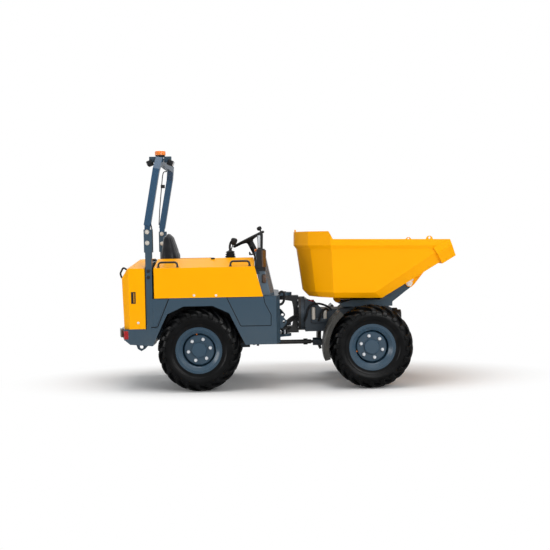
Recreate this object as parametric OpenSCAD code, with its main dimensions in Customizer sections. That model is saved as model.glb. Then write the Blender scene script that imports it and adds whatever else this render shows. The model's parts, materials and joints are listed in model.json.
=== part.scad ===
// Site dumper with an articulated frame, a swivel-tip skip, an open operator station and a folding hoop.
// Millimetres. +X is forward, +Y is the machine's left, the origin lies on the ground under the middle.

/* [Wheels] */
// Distance between the two axles
wheelbase = 1590; // [1560:5:1640]
// Distance between the centre planes of the two tyres on an axle
track = 976; // [970:2:1000]
// Outside diameter of a tyre over its lugs
tyre_d = 770; // [750:2:772]
// Section width of a tyre
tyre_w = 264; // [240:2:268]
// Bead seat diameter of the rim
rim_d = 389; // [370:1:400]
// Bolt circle of the wheel nuts
nut_pcd = 205; // [190:1:220]
// Wheel nuts on a wheel
nut_count = 6; // [5:1:8]

/* [Body] */
// From the rear axle back to the bumper's face
rear_overhang = 730; // [720:5:760]
// From the front axle forward to the skip's lip
front_overhang = 786; // [780:1:800]
// Width over the body sides
body_w = 1200; // [1180:2:1210]
// Height of the body side's lower edge
side_z = 430; // [420:2:440]
// Height where the yellow covers begin
cover_z = 869; // [860:1:880]
// Height of the covers' outer upper edge
cover_top = 1144; // [1120:2:1170]
// Height of the covers' inner upper edge
ridge_z = 1225; // [1210:1:1240]
// Half width of the operator's place between the covers
well_w = 250; // [235:1:255]
// Height of the operator's floor
floor_z = 557; // [550:1:570]
// Thickness of a sheet metal cover
sheet = 6; // [4:1:8]

/* [Hoop] */
// Tube size of the folding hoop
hoop_tube = 60; // [50:2:64]
// Forward lean of the hoop's upper part
hoop_lean = 10.4; // [8:0.2:12]
// Length of a leaning post up to its upper bend
hoop_h = 573; // [560:1:600]

/* [Skip] */
// Half width of the skip's side wall at its reference height
skip_w = 600; // [590:1:606]
// Lean of the skip's walls
skip_lean = 8.7; // [7:0.1:10]
// Nose-down rake of the empty skip
skip_rake = 1.07; // [0.5:0.01:1.4]
// Thickness of the skip's plate
plate = 7; // [5:1:9]
// Height of the skip's tipping axis
tip_z = 952; // [946:1:954]

/* [Hidden] */
$fn = 48;

yellow = "#f5ad00";
slate = "#4a565f";
black = "#1d1f21";
steel = "#b9bec2";

rear_x = -(wheelbase + front_overhang - rear_overhang) / 2;
front_x = rear_x + wheelbase;
pivot_x = rear_x + wheelbase / 2;
axle_z = tyre_d / 2;
half = body_w / 2;
post_x = rear_x - 443;
roll_z = 665;
tip = [front_x + 398, tip_z];
barrel_pin = [front_x + 225, 791];
rod_pin = [front_x - 274, 791];
steer_y = -115;
steer_z = 499;
prop_x = pivot_x - 300;
hoop_pin = [post_x - 7, 1377];
hoop_top = hoop_pin[1] + (hoop_h + 195 + hoop_tube / 2) * cos(hoop_lean) + (28
    + hoop_tube / 2) * sin(hoop_lean);

// A box from its two opposite corners
module box(a, b) {
    translate(a)
        cube(b - a);
}

// An outline in X and Z, drawn out from y0 to y1
module along_y(points, y0, y1) {
    translate([0, y1, 0])
        rotate([90, 0, 0])
            linear_extrude(y1 - y0)
                polygon(points);
}

// An outline in Y and Z, drawn out from x0 to x1
module along_x(points, x0, x1) {
    translate([x0, 0, 0])
        rotate([90, 0, 90])
            linear_extrude(x1 - x0)
                polygon(points);
}

// A round bar along Y
module pin_y(x, z, y0, y1, r) {
    translate([x, y0, z])
        rotate([-90, 0, 0])
            cylinder(r = r, h = y1 - y0);
}

// A round bar along X
module pin_x(x0, x1, y, z, r) {
    translate([x0, y, z])
        rotate([0, 90, 0])
            cylinder(r = r, h = x1 - x0);
}

// The children, and the same again on the other side
module both() {
    children();
    mirror([0, 1, 0])
        children();
}

// The smallest convex solid around some points
module convex(points) {
    hull()
        polyhedron(points, [[for (i = [0:len(points) - 1]) i]]);
}

// A list of points and its mirror image across the middle plane
function twin(points) = concat(points, [for (p = points) [p[0], -p[1], p[2]]]);

// Where two lines meet, each given by its unit normal's angle and its distance from the origin
function meet(a, c, b, d) =
    [c * sin(b) - d * sin(a), d * cos(a) - c * cos(b)] / sin(b - a);

// Points along an arc
function arc(cx, cy, r, a0, a1, n) =
    [for (i = [0:n]) [cx + r * cos(a0 + (a1 - a0) * i / n), cy + r * sin(a0 + (a1 - a0) * i / n)]];

// A wheel's place: its axis, pointing outwards, becomes Z
module at_wheel(x, side) {
    translate([x, side * track / 2, axle_z])
        rotate([-90 * side, 0, 0])
            children();
}

// Tyre: a ring with round shoulders
module tyre() {
    w = tyre_w / 2;
    r = tyre_d / 2;
    b = rim_d / 2 + 0.2;
    side = [[b, w - 20], [b + 20, w - 19], [b + 55, w - 6], [b + 95, w], [r - 58, w - 1],
        [r - 30, w - 9], [r - 12, w - 18], [r - 4, w - 34], [r, w - 70]];
    color(black)
        rotate_extrude($fn = 96)
            polygon(concat(side, [for (i = [len(side) - 1:-1:0]) [side[i][0], -side[i][1]]]));
}

// Rim with its dished disc, hub, cap and nuts
module rim(turn) {
    r = rim_d / 2;
    barrel = [[r + 19, 120], [r + 19, 114], [r, 113], [r, 82], [r - 23, 70], [r - 23, -52],
        [r, -76], [r, -113], [r + 19, -114], [r + 19, -120]];
    dish = [[r - 5.9, 112], [r - 13, 98], [r - 18, 95], [r - 23, 82], [r - 30, 78], [r - 34, 62],
        [r - 41, 56],
        [r - 43, 36]];
    disc = [[0, 52], [133, 52], [141, 46], [150, 2], [r - 26, -6], [r - 26, -20], [144, -12],
        [131, 34], [124, 40], [0, 40]];
    color(slate) {
        rotate_extrude($fn = 96)
            polygon(concat(barrel, [for (i = [len(barrel) - 1:-1:0]) [barrel[i][0] - 6, barrel[i][1]]]));
        rotate_extrude($fn = 96)
            polygon(concat(dish, [[r - 38, 36], [r - 28, 52], [r - 28.5, 62], [r - 5.9, 100]]));
        difference() {
            union() {
                rotate_extrude($fn = 96)
                    polygon(disc);
                translate([0, 0, -70])
                    cylinder(r = 78, h = 112);
                rotate_extrude()
                    polygon([[0, 50], [70, 50], [70, 70], [64, 76], [0, 76]]);
                for (i = [0:nut_count - 1])
                    rotate([0, 0, turn + i * 360 / nut_count])
                        translate([nut_pcd / 2, 0, 50])
                            cylinder(r = 13, h = 20, $fn = 6);
            }
            translate([0, 0, -71])
                cylinder(r = 40.3, h = 71);
        }
    }
}

module rim_rear_right() { at_wheel(rear_x, -1) rim(9.5); }
module rim_rear_left() { at_wheel(rear_x, 1) rim(9.5); }
module rim_front_right() { at_wheel(front_x, -1) rim(-16); }
module rim_front_left() { at_wheel(front_x, 1) rim(-16); }
module tyre_rear_right() { at_wheel(rear_x, -1) tyre(); }
module tyre_rear_left() { at_wheel(rear_x, 1) tyre(); }
module tyre_front_right() { at_wheel(front_x, -1) tyre(); }
module tyre_front_left() { at_wheel(front_x, 1) tyre(); }

// Axle housing with its swelling, end flanges, spindles, pads and the drive's nose along +X
module axle(nose, pad_y, pad_z) {
    e = track / 2 - 70.4;
    color(slate) {
        translate([0, 0, axle_z])
            rotate([-90, 0, 0])
                rotate_extrude()
                    polygon([[0, -e], [84, -e], [84, 24 - e], [58, 30 - e], [52, -160], [112, -75],
                        [118, 0], [112, 75], [52, 160], [58, e - 30], [84, e - 24], [84, e], [0, e]]);
        pin_y(0, axle_z, -e - 66, e + 66, 40);
        both()
            box([-42, pad_y - 35, axle_z + 15], [42, pad_y + 35, pad_z]);
        pin_x(0, nose, 0, axle_z, 45);
    }
}

module rear_axle() {
    translate([rear_x, 0, 0])
        axle(prop_x - 40 - rear_x, 180, 450);
}

module front_axle() {
    reach = front_x - pivot_x - 278;
    translate([front_x, 0, 0])
        rotate([0, 0, 180]) {
            axle(300, 155, 500);
            difference() {
                union() {
                    pin_x(299, reach - 70, 0, axle_z, 24);
                    pin_x(reach - 81, reach, 0, axle_z, 38);
                }
                pin_x(reach - 70, reach + 1, 0, axle_z, 34);
            }
        }
}

// Wheel arch line around the rear axle, moved out by g, from the bumper over to the front leg's end at zf
function arch(g, zf) = [[rear_x - 348 - g, 590.5], [rear_x - 283 - g, 722 + g / 2],
    [rear_x - 133 - g / 3, 791 + g], [rear_x + 133 + g / 3, 791 + g], [rear_x + 283 + g, 722 + g / 2],
    [rear_x + 427 + g - (zf - side_z) * 0.493, zf]];

// Body side's rear and arch edges
function arch_side() = concat([[rear_x - 392, 590.5]], arch(0, side_z));

// Outline of the access door, shrunk by a gap
function door_line(g) = [[rear_x + 268 + 2 * g, cover_z - 5 - g], [rear_x + 390 + g, 604 + g],
    [pivot_x - 132 - g, 604 + g], [pivot_x - 130 - g, 700], [pivot_x - 187 - g, 812],
    [pivot_x - 195 - g, cover_z - 5 - g]];

// Rails, cross members, front bulkhead, deck with the upper pivot lug, lower pivot lugs
module rear_frame() {
    bx = pivot_x - 45;
    color(slate)
        difference() {
            union() {
                both()
                    box([rear_x - 432, 145, 450], [bx - 20, 215, 543]);
                box([rear_x - 432, -150, 455], [rear_x - 372, 150, 543]);
                box([rear_x - 250, -150, 470], [rear_x - 190, 150, 543]);
                box([pivot_x - 545, -150, 470], [pivot_x - 485, 150, 543]);
                translate([0, 0, cover_z - 24])
                    linear_extrude(30)
                        polygon([[bx - 160, -589], [bx - 35, -589], [bx, -512], [bx, -100], [pivot_x, -78],
                            [pivot_x, 78], [bx, 100], [bx, 512], [bx - 35, 589], [bx - 160, 589]]);
                translate([pivot_x, 0, cover_z - 24])
                    cylinder(r = 78, h = 30);
                translate([0, 0, side_z + 6])
                    linear_extrude(cover_z - side_z - 25)
                        polygon([[bx - 45, -590], [bx - 35, -590], [bx, -512], [bx, 512], [bx - 35, 590],
                            [bx - 45, 590], [bx - 25, 505], [bx - 25, -505]]);
                for (z = [445, 552])
                    translate([0, 0, z]) {
                        linear_extrude(25)
                            polygon([[bx - 25, -150], [pivot_x, -68], [pivot_x, 68], [bx - 25, 150]]);
                        translate([pivot_x, 0, 0])
                            cylinder(r = 68, h = 25);
                    }
                both()
                    difference() {
                        along_y([[bx - 10, 560], [bx + 20, 560], [bx + 62, 612], [bx + 62, 628],
                            [bx + 20, 680],
                            [bx - 10, 680]], 425, 445);
                        pin_y(bx + 36, 620, 420, 450, 13);
                    }
            }
            translate([pivot_x, 0, 400])
                cylinder(r = 25.3, h = 600);
            box([bx - 30, -95, 480], [bx + 1, 95, 550]);
            box([bx - 30, -95, 580], [bx + 1, 95, cover_z - 24.5]);
            box([bx - 30, -172, 474], [bx + 1, -80, 545]);
        }
}

// Right body side with its wheel arch and the hole for the access door
module side_panel_right() {
    color(slate)
        difference() {
            along_y(concat(arch_side(), [[pivot_x - 80, side_z], [pivot_x - 80, cover_z - 0.3],
                [rear_x - 270, cover_z - 0.3]]), -half, 10 - half);
            along_y(door_line(-5), -half - 1, 11 - half);
        }
    color(slate)
        box([rear_x + 255, 8.3 - half, 835], [pivot_x - 206, 22 - half, cover_z - 0.3]);
    color(slate)
        along_y([[pivot_x - 118, 596], [pivot_x - 116, 702], [pivot_x - 173, 814],
            [pivot_x - 180, cover_z - 0.3],
            [pivot_x - 212, cover_z - 0.3], [pivot_x - 206, 808], [pivot_x - 150, 696],
                [pivot_x - 152, 596]],
            8.3 - half, 10.8 - half);
}

// Left body side: the same arch, cut down in front for the way in
module side_panel_left() {
    color(slate)
        along_y(concat(arch_side(), [[pivot_x - 80, side_z], [pivot_x - 80, cover_z - 0.3],
            [pivot_x - 150, cover_z - 0.3], [pivot_x - 190, floor_z - 14], [rear_x + 390, floor_z - 14],
            [rear_x + 300, cover_z - 90], [rear_x + 190, cover_z - 0.3], [rear_x - 270, cover_z - 0.3]]),
            half - 10, half);
}

// Black inner arches over the rear tyres
module arch_liners() {
    color(black)
        both()
            difference() {
                along_y(arch(6, 412), 338, half - 10.2);
                along_y(concat(arch(0, 412), [[rear_x + 300, 300], [rear_x - 348, 300]]), 344, half);
                box([rear_x - 360, 300, 560], [rear_x - 340, half, 590.5]);
            }
}

// Rear bumper: a heavy block across the back
module bumper() {
    color(slate)
        difference() {
            along_y([[rear_x - rear_overhang, 590], [rear_x - rear_overhang, 514], [rear_x - 671, 487],
                [rear_x - 627, 449], [rear_x - 421, 432], [rear_x - 348, 590]], -half, half);
            box([rear_x - 432, -338, 400], [rear_x - 300, 338, 600]);
            both() {
                translate([0, 0, 400])
                    linear_extrude(200)
                        polygon([[rear_x - rear_overhang - 1, half - 204],
                            [rear_x - rear_overhang - 1, half + 1],
                            [rear_x - rear_overhang + 52, half + 1]]);
                corner_lamp();
            }
        }
}

// A lamp's plan wrapped round the bumper's corner
module corner_lamp() {
    translate([rear_x - rear_overhang, half, 500])
        linear_extrude(76)
            polygon([[89, 2], [50.5, 2], [28, -86], [40, -92], [64, -14], [89, -14]]);
}

// Red lamps let into the bumper's ends
module tail_lamps() {
    color("#b01818")
        both()
            corner_lamp();
}

// Lashing eyes under the bumper
module lashing_eyes() {
    color(slate)
        both()
            difference() {
                along_y([[rear_x - 600, 446], [rear_x - 580, 392], [rear_x - 546, 372], [rear_x - 512, 392],
                    [rear_x - 470, 436]], 420, 445);
                pin_y(rear_x - 546, 411, 400, 460, 17.5);
            }
}

// A side cover's section in Y and Z: an outer wall and a roof rising inwards, open below and inside
function cover_wall(s) = [[-half, cover_z], [-half, cover_top], [-well_w - 12, ridge_z],
    [-well_w - 12, ridge_z - s],
    [-half + s, cover_top - s * 0.8], [-half + s, cover_z]];

// Height of a cover's roof at a distance y from the middle plane
function roof_z(y) = cover_top + (half - y) * (ridge_z - cover_top) / (half - well_w - 12);

// Sloped front end of the covers, in X and Z
function cover_cut(x0, x1) = [[x0, cover_z - 50], [x1 + 13, cover_z - 50], [x1, cover_z],
    [x1 - 73, cover_top],
    [x1 - 94, ridge_z + 20], [x0, ridge_z + 20]];

// Engine hood on the right, hinged along its inner edge
module engine_hood() {
    color(yellow) {
        intersection() {
            along_x(cover_wall(sheet), post_x + 45, pivot_x - 195);
            along_y(cover_cut(post_x + 40, pivot_x - 198), -half - 1, 0);
        }
        for (x = [post_x + 45, pivot_x - 282])
            along_x([[-half + sheet - 1, cover_top - 60], [-half + sheet - 1, cover_top - 3],
                [-well_w - 40, ridge_z - 12], [-well_w - 40, ridge_z - 30],
                    [-half + 40, cover_top - 60]], x, x + sheet);
    }
}

// Two grab handles on the engine hood
module hood_handles() {
    color(black)
        for (x = [post_x + 85, pivot_x - 493]) {
            for (dx = [0, 176])
                translate([x + dx, -half + 28, roof_z(half - 37) + 0.1])
                    cylinder(r = 9, h = cover_top + 57 - roof_z(half - 37));
            pin_x(x - 9, x + 185, -half + 28, cover_top + 52, 9);
        }
}

// Fixed cover on the left, shorter, to leave the way in
module left_cover() {
    color(yellow)
        mirror([0, 1, 0])
            intersection() {
                along_x(cover_wall(sheet), post_x + 45, rear_x + 190);
                along_y(cover_cut(post_x + 40, rear_x + 190), -half - 1, 0);
            }
}

// Corner points of the tail hood's outside, moved in by g
function tail_points(g) = let (x0 = post_x - 38
    + g * 5, xr = rear_x - 690, h = half - g, z0 = 590.3 - g * 5)
    twin([[x0, h, z0], [x0, h, cover_top - g * 0.8], [x0, well_w, ridge_z - g],
        [rear_x - 628 + g, h, z0], [rear_x - 628 + g, h, cover_top - g],
        [rear_x - 565 + g, well_w, ridge_z - g],
        [xr + g, h - 90, z0], [xr - 14 + g, h - 90, 1058], [rear_x - 650 + g, h - 70, cover_top - g]]);

// Tail hood over the engine, hinged at its upper front edge
module tail_hood() {
    color(yellow)
        difference() {
            convex(tail_points(0));
            convex(tail_points(sheet));
            for (z = [660:60:960])
                box([rear_x - 720, -240, z], [rear_x - 650, 240, z + 26]);
        }
}

// Round bar between two points of a plane across Y
module rod(a, b, y, r) {
    d = b - a;
    translate([a[0], y, a[1]])
        rotate([0, atan2(d[0], d[1]), 0])
            cylinder(r = r, h = norm(d));
}

// Two bow handles on the tail's upper edge
module tail_handle() {
    line = [[rear_x - 667.2, 1117.1], [rear_x - 722, 1151.6], [rear_x - 752, 1096], [rear_x - 738, 1052],
        [rear_x - 704.2, 1052]];
    color(black)
        both() {
            for (i = [0:3])
                rod(line[i], line[i + 1], 300, 9);
            for (i = [1:3])
                translate([line[i][0], 300, line[i][1]])
                    sphere(r = 10);
        }
}

// Access door in the right body side, hinged along its upper edge
module access_door() {
    color(slate)
        along_y(door_line(0), -half, 8 - half);
}

// Floor, seat box, inner wall of the engine bay with the side console, step
module platform() {
    x1 = pivot_x - 70;
    color(slate) {
        box([rear_x + 80, -well_w, floor_z - 14], [x1, 330, floor_z]);
        box([rear_x + 392, 320, floor_z - 14], [x1, 504, floor_z]);
        box([rear_x + 392, 500, floor_z - 14], [x1 - 20.5, half - 10.2, floor_z]);
        box([rear_x + 394, 580, floor_z - 13.8], [pivot_x - 193, half - 0.5, floor_z]);
        box([post_x + 47, -well_w, 870], [rear_x + 80, well_w, 882]);
        box([rear_x + 72, -well_w, floor_z - 14], [rear_x + 80, well_w, 882]);
        both()
            box([post_x + 47, well_w - 8, floor_z - 14], [rear_x + 80, well_w, ridge_z - 7.2]);
        both()
            box([post_x + 47, well_w - 8, ridge_z - 30], [rear_x + 80, well_w + 14, ridge_z - 7.2]);
        box([rear_x + 72, -well_w - 14, ridge_z - 30], [pivot_x - 330, -well_w + 8, ridge_z - 7.2]);
        box([rear_x + 72, -well_w, floor_z - 14], [pivot_x - 330, -well_w + 8, ridge_z - 8]);
        box([rear_x + 170, -well_w, 1120], [rear_x + 420, -well_w + 110, ridge_z - 8]);
        box([rear_x + 436, half - 60, side_z + 10], [pivot_x - 190, half - 10.5, side_z + 26]);
        box([rear_x + 440, half - 30, side_z + 10], [rear_x + 452, half - 10.5, floor_z]);
    }
}

// Seat squab
module seat_cushion() {
    color(black)
        along_x([[-225, 882], [225, 882], [235, 905], [235, 975], [205, 990], [160, 972], [-160, 972],
            [-205, 990], [-235, 975], [-235, 905]], rear_x - 258, rear_x + 120);
}

// Seat back with its side wings
module seat_back() {
    color(black)
        intersection() {
            along_y([[rear_x - 362, 882], [rear_x - 388, 1232], [rear_x - 358, 1430], [rear_x - 330, 1466],
                [rear_x - 300, 1466], [rear_x - 276, 1430], [rear_x - 219, 1258], [rear_x - 225, 1120],
                [rear_x - 260, 992], [rear_x - 260, 882]], -235, 235);
            along_x([[-225, 882], [225, 882], [235, 1200], [205, 1400], [150, 1466], [-150, 1466],
                [-205, 1400], [-235, 1200]], rear_x - 400, rear_x - 200);
        }
}

// Leaning front shield with chamfered corners
module shield() {
    h = 430;
    w = half - 52;
    line = [[-89, -w], [-36, -w], [0, 90 - w], [0, w - 90], [-36, w], [-89, w], [-89, w - 10],
        [-42, w - 10],
        [-10, w - 94], [-10, 94 - w], [-42, 10 - w], [-89, 10 - w]];
    color(slate)
        difference() {
            translate([pivot_x - 92, 0, cover_z + 6])
                rotate([0, -12.2, 0]) {
                    translate([0, 0, -40])
                        linear_extrude(h + 40)
                            polygon(line);
                    box([-112, -w, -40], [-88, 10 - w, 225]);
                }
            box([pivot_x - 300, -half - 100, 700], [pivot_x, half + 100, cover_z + 6]);
        }
}

// The steering wheel's place: its axis becomes Z
module at_steering() {
    translate([pivot_x - 333, 0, 1400])
        rotate([0, -26, 0])
            children();
}

// Dashboard, steering column, display pod, pedals' bracket
module dash() {
    color(black) {
        along_y([[pivot_x - 159.55, 1140], [pivot_x - 285, 1190], [pivot_x - 275, 1262],
            [pivot_x - 205, 1288],
            [pivot_x - 190.7, 1284]], -245, 245);
        along_y([[pivot_x - 159.55, 1140], [pivot_x - 256, 1180], [pivot_x - 256, 1266],
            [pivot_x - 205, 1288],
            [pivot_x - 190.7, 1284]], 200 - half, half - 200);
        at_steering()
            translate([0, 0, -208.3])
                cylinder(r = 30, h = 190);
        along_y([[pivot_x - 237, 1255], [pivot_x - 249, 1440], [pivot_x - 237, 1456], [pivot_x - 201, 1456],
            [pivot_x - 190, 1440], [pivot_x - 196, 1265]], 240 - half, 350 - half);
    }
}

// Operating lever with its bellows
module joystick() {
    color(black)
        translate([rear_x + 288, -well_w + 58, ridge_z - 8]) {
            cylinder(r1 = 48, r2 = 22, h = 70);
            rotate([0, 14, 0]) {
                translate([0, 0, 3])
                    cylinder(r = 9, h = 177);
                translate([0, 0, 135])
                    cylinder(r1 = 16, r2 = 24, h = 65);
            }
        }
}

// Headlamps and direction lamps on the shield's sides
module front_lights() {
    color("#3a3a3a")
        both()
            translate([pivot_x - 178, half - 3, 1125])
                linear_extrude(178)
                    polygon([[-74, 0], [-24, 0], [0, -30], [0, -48.8], [-74, -48.8]]);
    color("#c06010")
        both()
            box([pivot_x - 203, half - 51.8, 990], [pivot_x - 168, half - 28, 1072]);
}

// Lower posts with cross tube and fork plates
module rops_base() {
    color(slate) {
        both() {
            box([post_x - 29, half - 60, 590], [post_x + 29, half, 1300]);
            for (y = [half - 72, half - 10])
                box([post_x - 38, y, 1295], [post_x + 38, y + 10, 1500]);
            pin_y(hoop_pin[0], hoop_pin[1], half - 80, half + 6, 12);
            along_y([[post_x + 28, 590], [rear_x - 394, 590], [rear_x - 273, cover_z - 5],
                [post_x + 28, cover_z - 5]],
                half - 14, half - 1);
        }
        box([post_x - 25, -half + 55, 1150], [post_x + 25, half - 55, 1200]);
        both()
            box([post_x - 70, 120, 1170], [post_x - 20, 200, ridge_z - sheet - 0.3]);
        both()
            box([post_x - 38, half - 72, 1290], [post_x + 38, half, 1308]);
    }
}

// Folding upper hoop: two leaning posts, bent corners and a cross bar
module rops_hoop() {
    t = hoop_tube / 2;
    yc = half - 31;
    color(slate)
        translate([hoop_pin[0], 0, hoop_pin[1]])
            difference() {
                union() {
                    rotate([0, hoop_lean, 0])
                        along_x([[-yc - t, 155], [-yc - t, hoop_h + 110], [-yc + 70, hoop_h + 195 + t],
                            [yc - 70, hoop_h + 195 + t], [yc + t, hoop_h + 110], [yc + t, 155],
                            [yc - t, 155], [yc - t, hoop_h + 85], [yc - 95, hoop_h + 195 - t],
                            [-yc + 95, hoop_h + 195 - t], [-yc + t, hoop_h + 85], [-yc + t, 155]],
                                -28 - t, t - 28);
                    both()
                        along_y([[-24, -30], [24, -30], [24, 130], [34, 185], [-22, 185], [-24, 130]],
                            yc - 29.5, yc + 19.5);
                }
                pin_y(0, 0, -half - 100, half + 100, 12.3);
            }
}

// Work lamps, tilted down at both ends of a bracket over the hoop's bar
module work_lamps() {
    color(black)
        translate([post_x + 104, -380, hoop_top]) {
            box([-103, -18, 0.2], [103, 18, 8]);
            for (s = [-1, 1]) {
                box([s * 70 - 33, -18, -46], [s * 70 + 33, 18, 6]);
                translate([s * 97, 0, -52])
                    rotate([0, s * 24, 0])
                        box([-26, -50, -24], [26, 50, 24]);
            }
        }
}

// Rotating beacon
module beacon() {
    color("#e88a10")
        translate([post_x + 104, -380, hoop_top + 8]) {
            cylinder(r = 44, h = 13);
            translate([0, 0, 12])
                cylinder(r = 50, h = 41);
        }
}

// Plain block standing for the engine
module engine() {
    color("#5b6166") {
        box([rear_x - 365, -140, 500], [rear_x - 256, 140, 600]);
        box([rear_x - 425, -200, 543], [rear_x - 190, 200, 600]);
        box([rear_x - 630, -200, 590], [rear_x - 190, 200, 830]);
        box([rear_x - 630, -190, 820], [rear_x - 480, 190, 1060]);
    }
}

// Steering wheel with a knob
module steering_wheel() {
    color(black)
        at_steering() {
                rotate_extrude()
                    translate([157, 0])
                        circle(r = 13, $fn = 24);
                translate([0, 0, -18])
                    cylinder(r = 40, h = 30);
                for (a = [0, 120, 240])
                    rotate([0, 0, a])
                        box([30, -14, -10], [152, 14, 0]);
                translate([120, 0, 0])
                    cylinder(r = 10, h = 12);
                translate([140, 60, 0])
                    cylinder(r = 21, h = 52);
            }
}

// Steering cylinder's barrel, held by the rear frame
module steer_barrel() {
    color(black) {
        difference() {
            pin_x(pivot_x - 400, pivot_x - 115, steer_y, steer_z, 26);
            pin_x(pivot_x - 370, pivot_x - 100, steer_y, steer_z, 15.3);
        }
        box([pivot_x - 425, -145, steer_z - 22], [pivot_x - 398, steer_y + 22, steer_z + 22]);
    }
}

// Steering cylinder's rod with its eye
module steer_rod() {
    color(steel)
        difference() {
            union() {
                pin_x(pivot_x - 260, pivot_x - 20, steer_y, steer_z, 15);
                translate([pivot_x, steer_y, steer_z - 21])
                    cylinder(r = 28, h = 41.6);
            }
        }
}

// Steered middle piece: pins, two arms, steering arm, round flange and roll spindle
module yoke() {
    f = pivot_x + 140;
    color(black) {
        along_y(concat([[pivot_x, 803], [pivot_x, 842], [f, 842], [f, 482], [pivot_x, 482], [pivot_x, 538]],
            arc(pivot_x - 365, roll_z, 460, -15.5, 15.5, 8)), -68, 68);
        for (z = [[482, 538], [803, 842]])
            translate([pivot_x, 0, z[0]])
                cylinder(r = 74, h = z[1] - z[0]);
        translate([pivot_x, 0, 440])
            cylinder(r = 25, h = 142);
        translate([pivot_x, 0, 800])
            cylinder(r = 25, h = 82);
        pin_x(f - 1, f + 22, 0, roll_z, 165);
        pin_x(f, f + 100, 0, roll_z, 60);
        translate([0, 0, steer_z + 21])
            linear_extrude(17)
                polygon([[pivot_x - 30, steer_y - 30], [pivot_x + 30, steer_y - 30],
                    [pivot_x + 70, -55], [pivot_x - 40, -50]]);
    }
}

// Universal joint's cross on the rear axle's nose
module prop_cross() {
    color(black) {
        translate([prop_x, 0, axle_z])
            sphere(r = 26);
        intersection() {
            pin_x(prop_x - 45, prop_x, 0, axle_z, 20);
            translate([prop_x, 0, axle_z])
                sphere(r = 39.6);
        }
    }
}

// Drive shaft between the axles
module prop_tube() {
    color(black)
        union() {
            pin_x(prop_x + 27, pivot_x + 262, 0, axle_z, 21);
            pin_x(pivot_x + 186, pivot_x + 226, 0, axle_z, 30);
            pin_x(pivot_x + 261, pivot_x + 298, 0, axle_z, 9);
            pin_x(prop_x + 26.5, prop_x + 50, 0, axle_z, 34);
        }
}

// Front frame: round rear flange, two side plates, top plate with the slew ring, nose plate
module front_frame() {
    f = pivot_x + 162.4;
    color(slate)
        difference() {
            union() {
                pin_x(f, f + 40, 0, roll_z, 165);
                box([f + 38, -175, 500], [f + 63, 175, 808]);
                both()
                    along_y([[f + 40, 500], [f + 40, 808], [f + 150, 770], [f + 200, 712],
                        [front_x + 245, 712],
                        [front_x + 245, 560], [front_x + 200, 500]], 145, 165);
                box([f + 60, -165, 690], [front_x + 245, 165, 712]);
                box([f + 60, -165, 500], [f + 160, 165, 520]);
                box([front_x + 225, -165, 540], [front_x + 245, 165, 712]);
                translate([front_x, 0, 690])
                    cylinder(r = 235, h = 47, $fn = 96);
            }
            pin_x(f - 10, f + 120, 0, roll_z, 60.3);
        }
}

// Black mudguards behind the front wheels
module front_fenders() {
    color(black)
        both()
            translate([front_x, 0, axle_z])
                rotate([-90, 0, 0]) {
                    rotate([0, 0, 165])
                        rotate_extrude(angle = 64, $fn = 96)
                            polygon([[424, 340], [424, 345], [442, 356], [442, 602], [398, 609], [398, 622],
                                [436, 622], [450, 610], [450, 352], [432, 340]]);
                    rotate([0, 0, 208])
                        translate([413, 0, 165.2])
                            cube([20, 40, 185]);
                }
}

// Bright pressure accumulators on the front frame's sides, with a valve block below them
module accumulators() {
    color(steel)
        both() {
            translate([front_x - 515, 183, 616])
                cylinder(r = 17.8, h = 118);
            translate([front_x - 405, 183, 622])
                cylinder(r = 17.8, h = 88);
            box([front_x - 533, 165.1, 585], [front_x - 394, 196, 624]);
        }
}

// Lamps on the front frame's nose
module nose_lamps() {
    color("#d8d8d8")
        both() {
            pin_x(front_x + 245, front_x + 330, 120, 640, 52);
        }
}

// Turntable with cheeks and arms that carry the skip
module turntable() {
    color(slate)
        difference() {
            union() {
                translate([front_x, 0, 737.4])
                    cylinder(r = 245, h = 18, $fn = 96);
                box([front_x - 235, -250, 737.4], [front_x + 235, 250, 755]);
                both()
                    along_y([[front_x - 250, 745], [front_x - 250, 772], [front_x - 150, 800],
                        [front_x + 115, 800],
                        [front_x + 372, tip_z + 26], [front_x + 388, tip_z + 35],
                            [front_x + 408, tip_z + 34],
                        [front_x + 430, tip_z + 18], [front_x + 434, tip_z - 12],
                            [front_x + 425, tip_z - 30],
                        [front_x + 238, 778], [front_x + 237, 737.4], [front_x - 235, 737.4]], 230, 250);
                both()
                    along_y([[barrel_pin[0] - 30, 745], [barrel_pin[0] - 24, 812],
                        [barrel_pin[0] + 24, 812],
                        [barrel_pin[0] + 30, 745]], 38, 56);
            }
            pin_y(tip[0], tip[1], -300, 300, 20.3);
            pin_y(barrel_pin[0], barrel_pin[1], -100, 100, 14.3);
        }
}

// Tipping cylinder's barrel
module tip_barrel() {
    color(black) {
        pin_y(barrel_pin[0], barrel_pin[1], -56, 56, 14);
        pin_y(barrel_pin[0], barrel_pin[1], -36, 36, 30);
        translate([barrel_pin[0], 0, barrel_pin[1]])
            rotate([0, -90, 0])
                difference() {
                    cylinder(r = 30, h = 370);
                    translate([0, 0, 40])
                        cylinder(r = 18.3, h = 400);
                }
    }
}

// Tipping cylinder's rod with its eye
module tip_rod() {
    color(steel) {
        pin_x(rod_pin[0], barrel_pin[0] - 100, 0, barrel_pin[1], 18);
        pin_y(rod_pin[0], barrel_pin[1], -39.4, 39.4, 26);
    }
}

// Skip: half outline of its plan at a distance d inside the reference line
function skip_plan(d) = let (a = [180, 156, 134, 90], c = [663 - d, 675 - d, 686 - d, skip_w - d])
    [for (i = [0:2]) meet(a[i], c[i], a[i + 1], c[i + 1])];

// How far the wall at height z lies inside the reference line
function skip_in(z, t) = t + (1270 - z) * tan(skip_lean);

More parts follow.
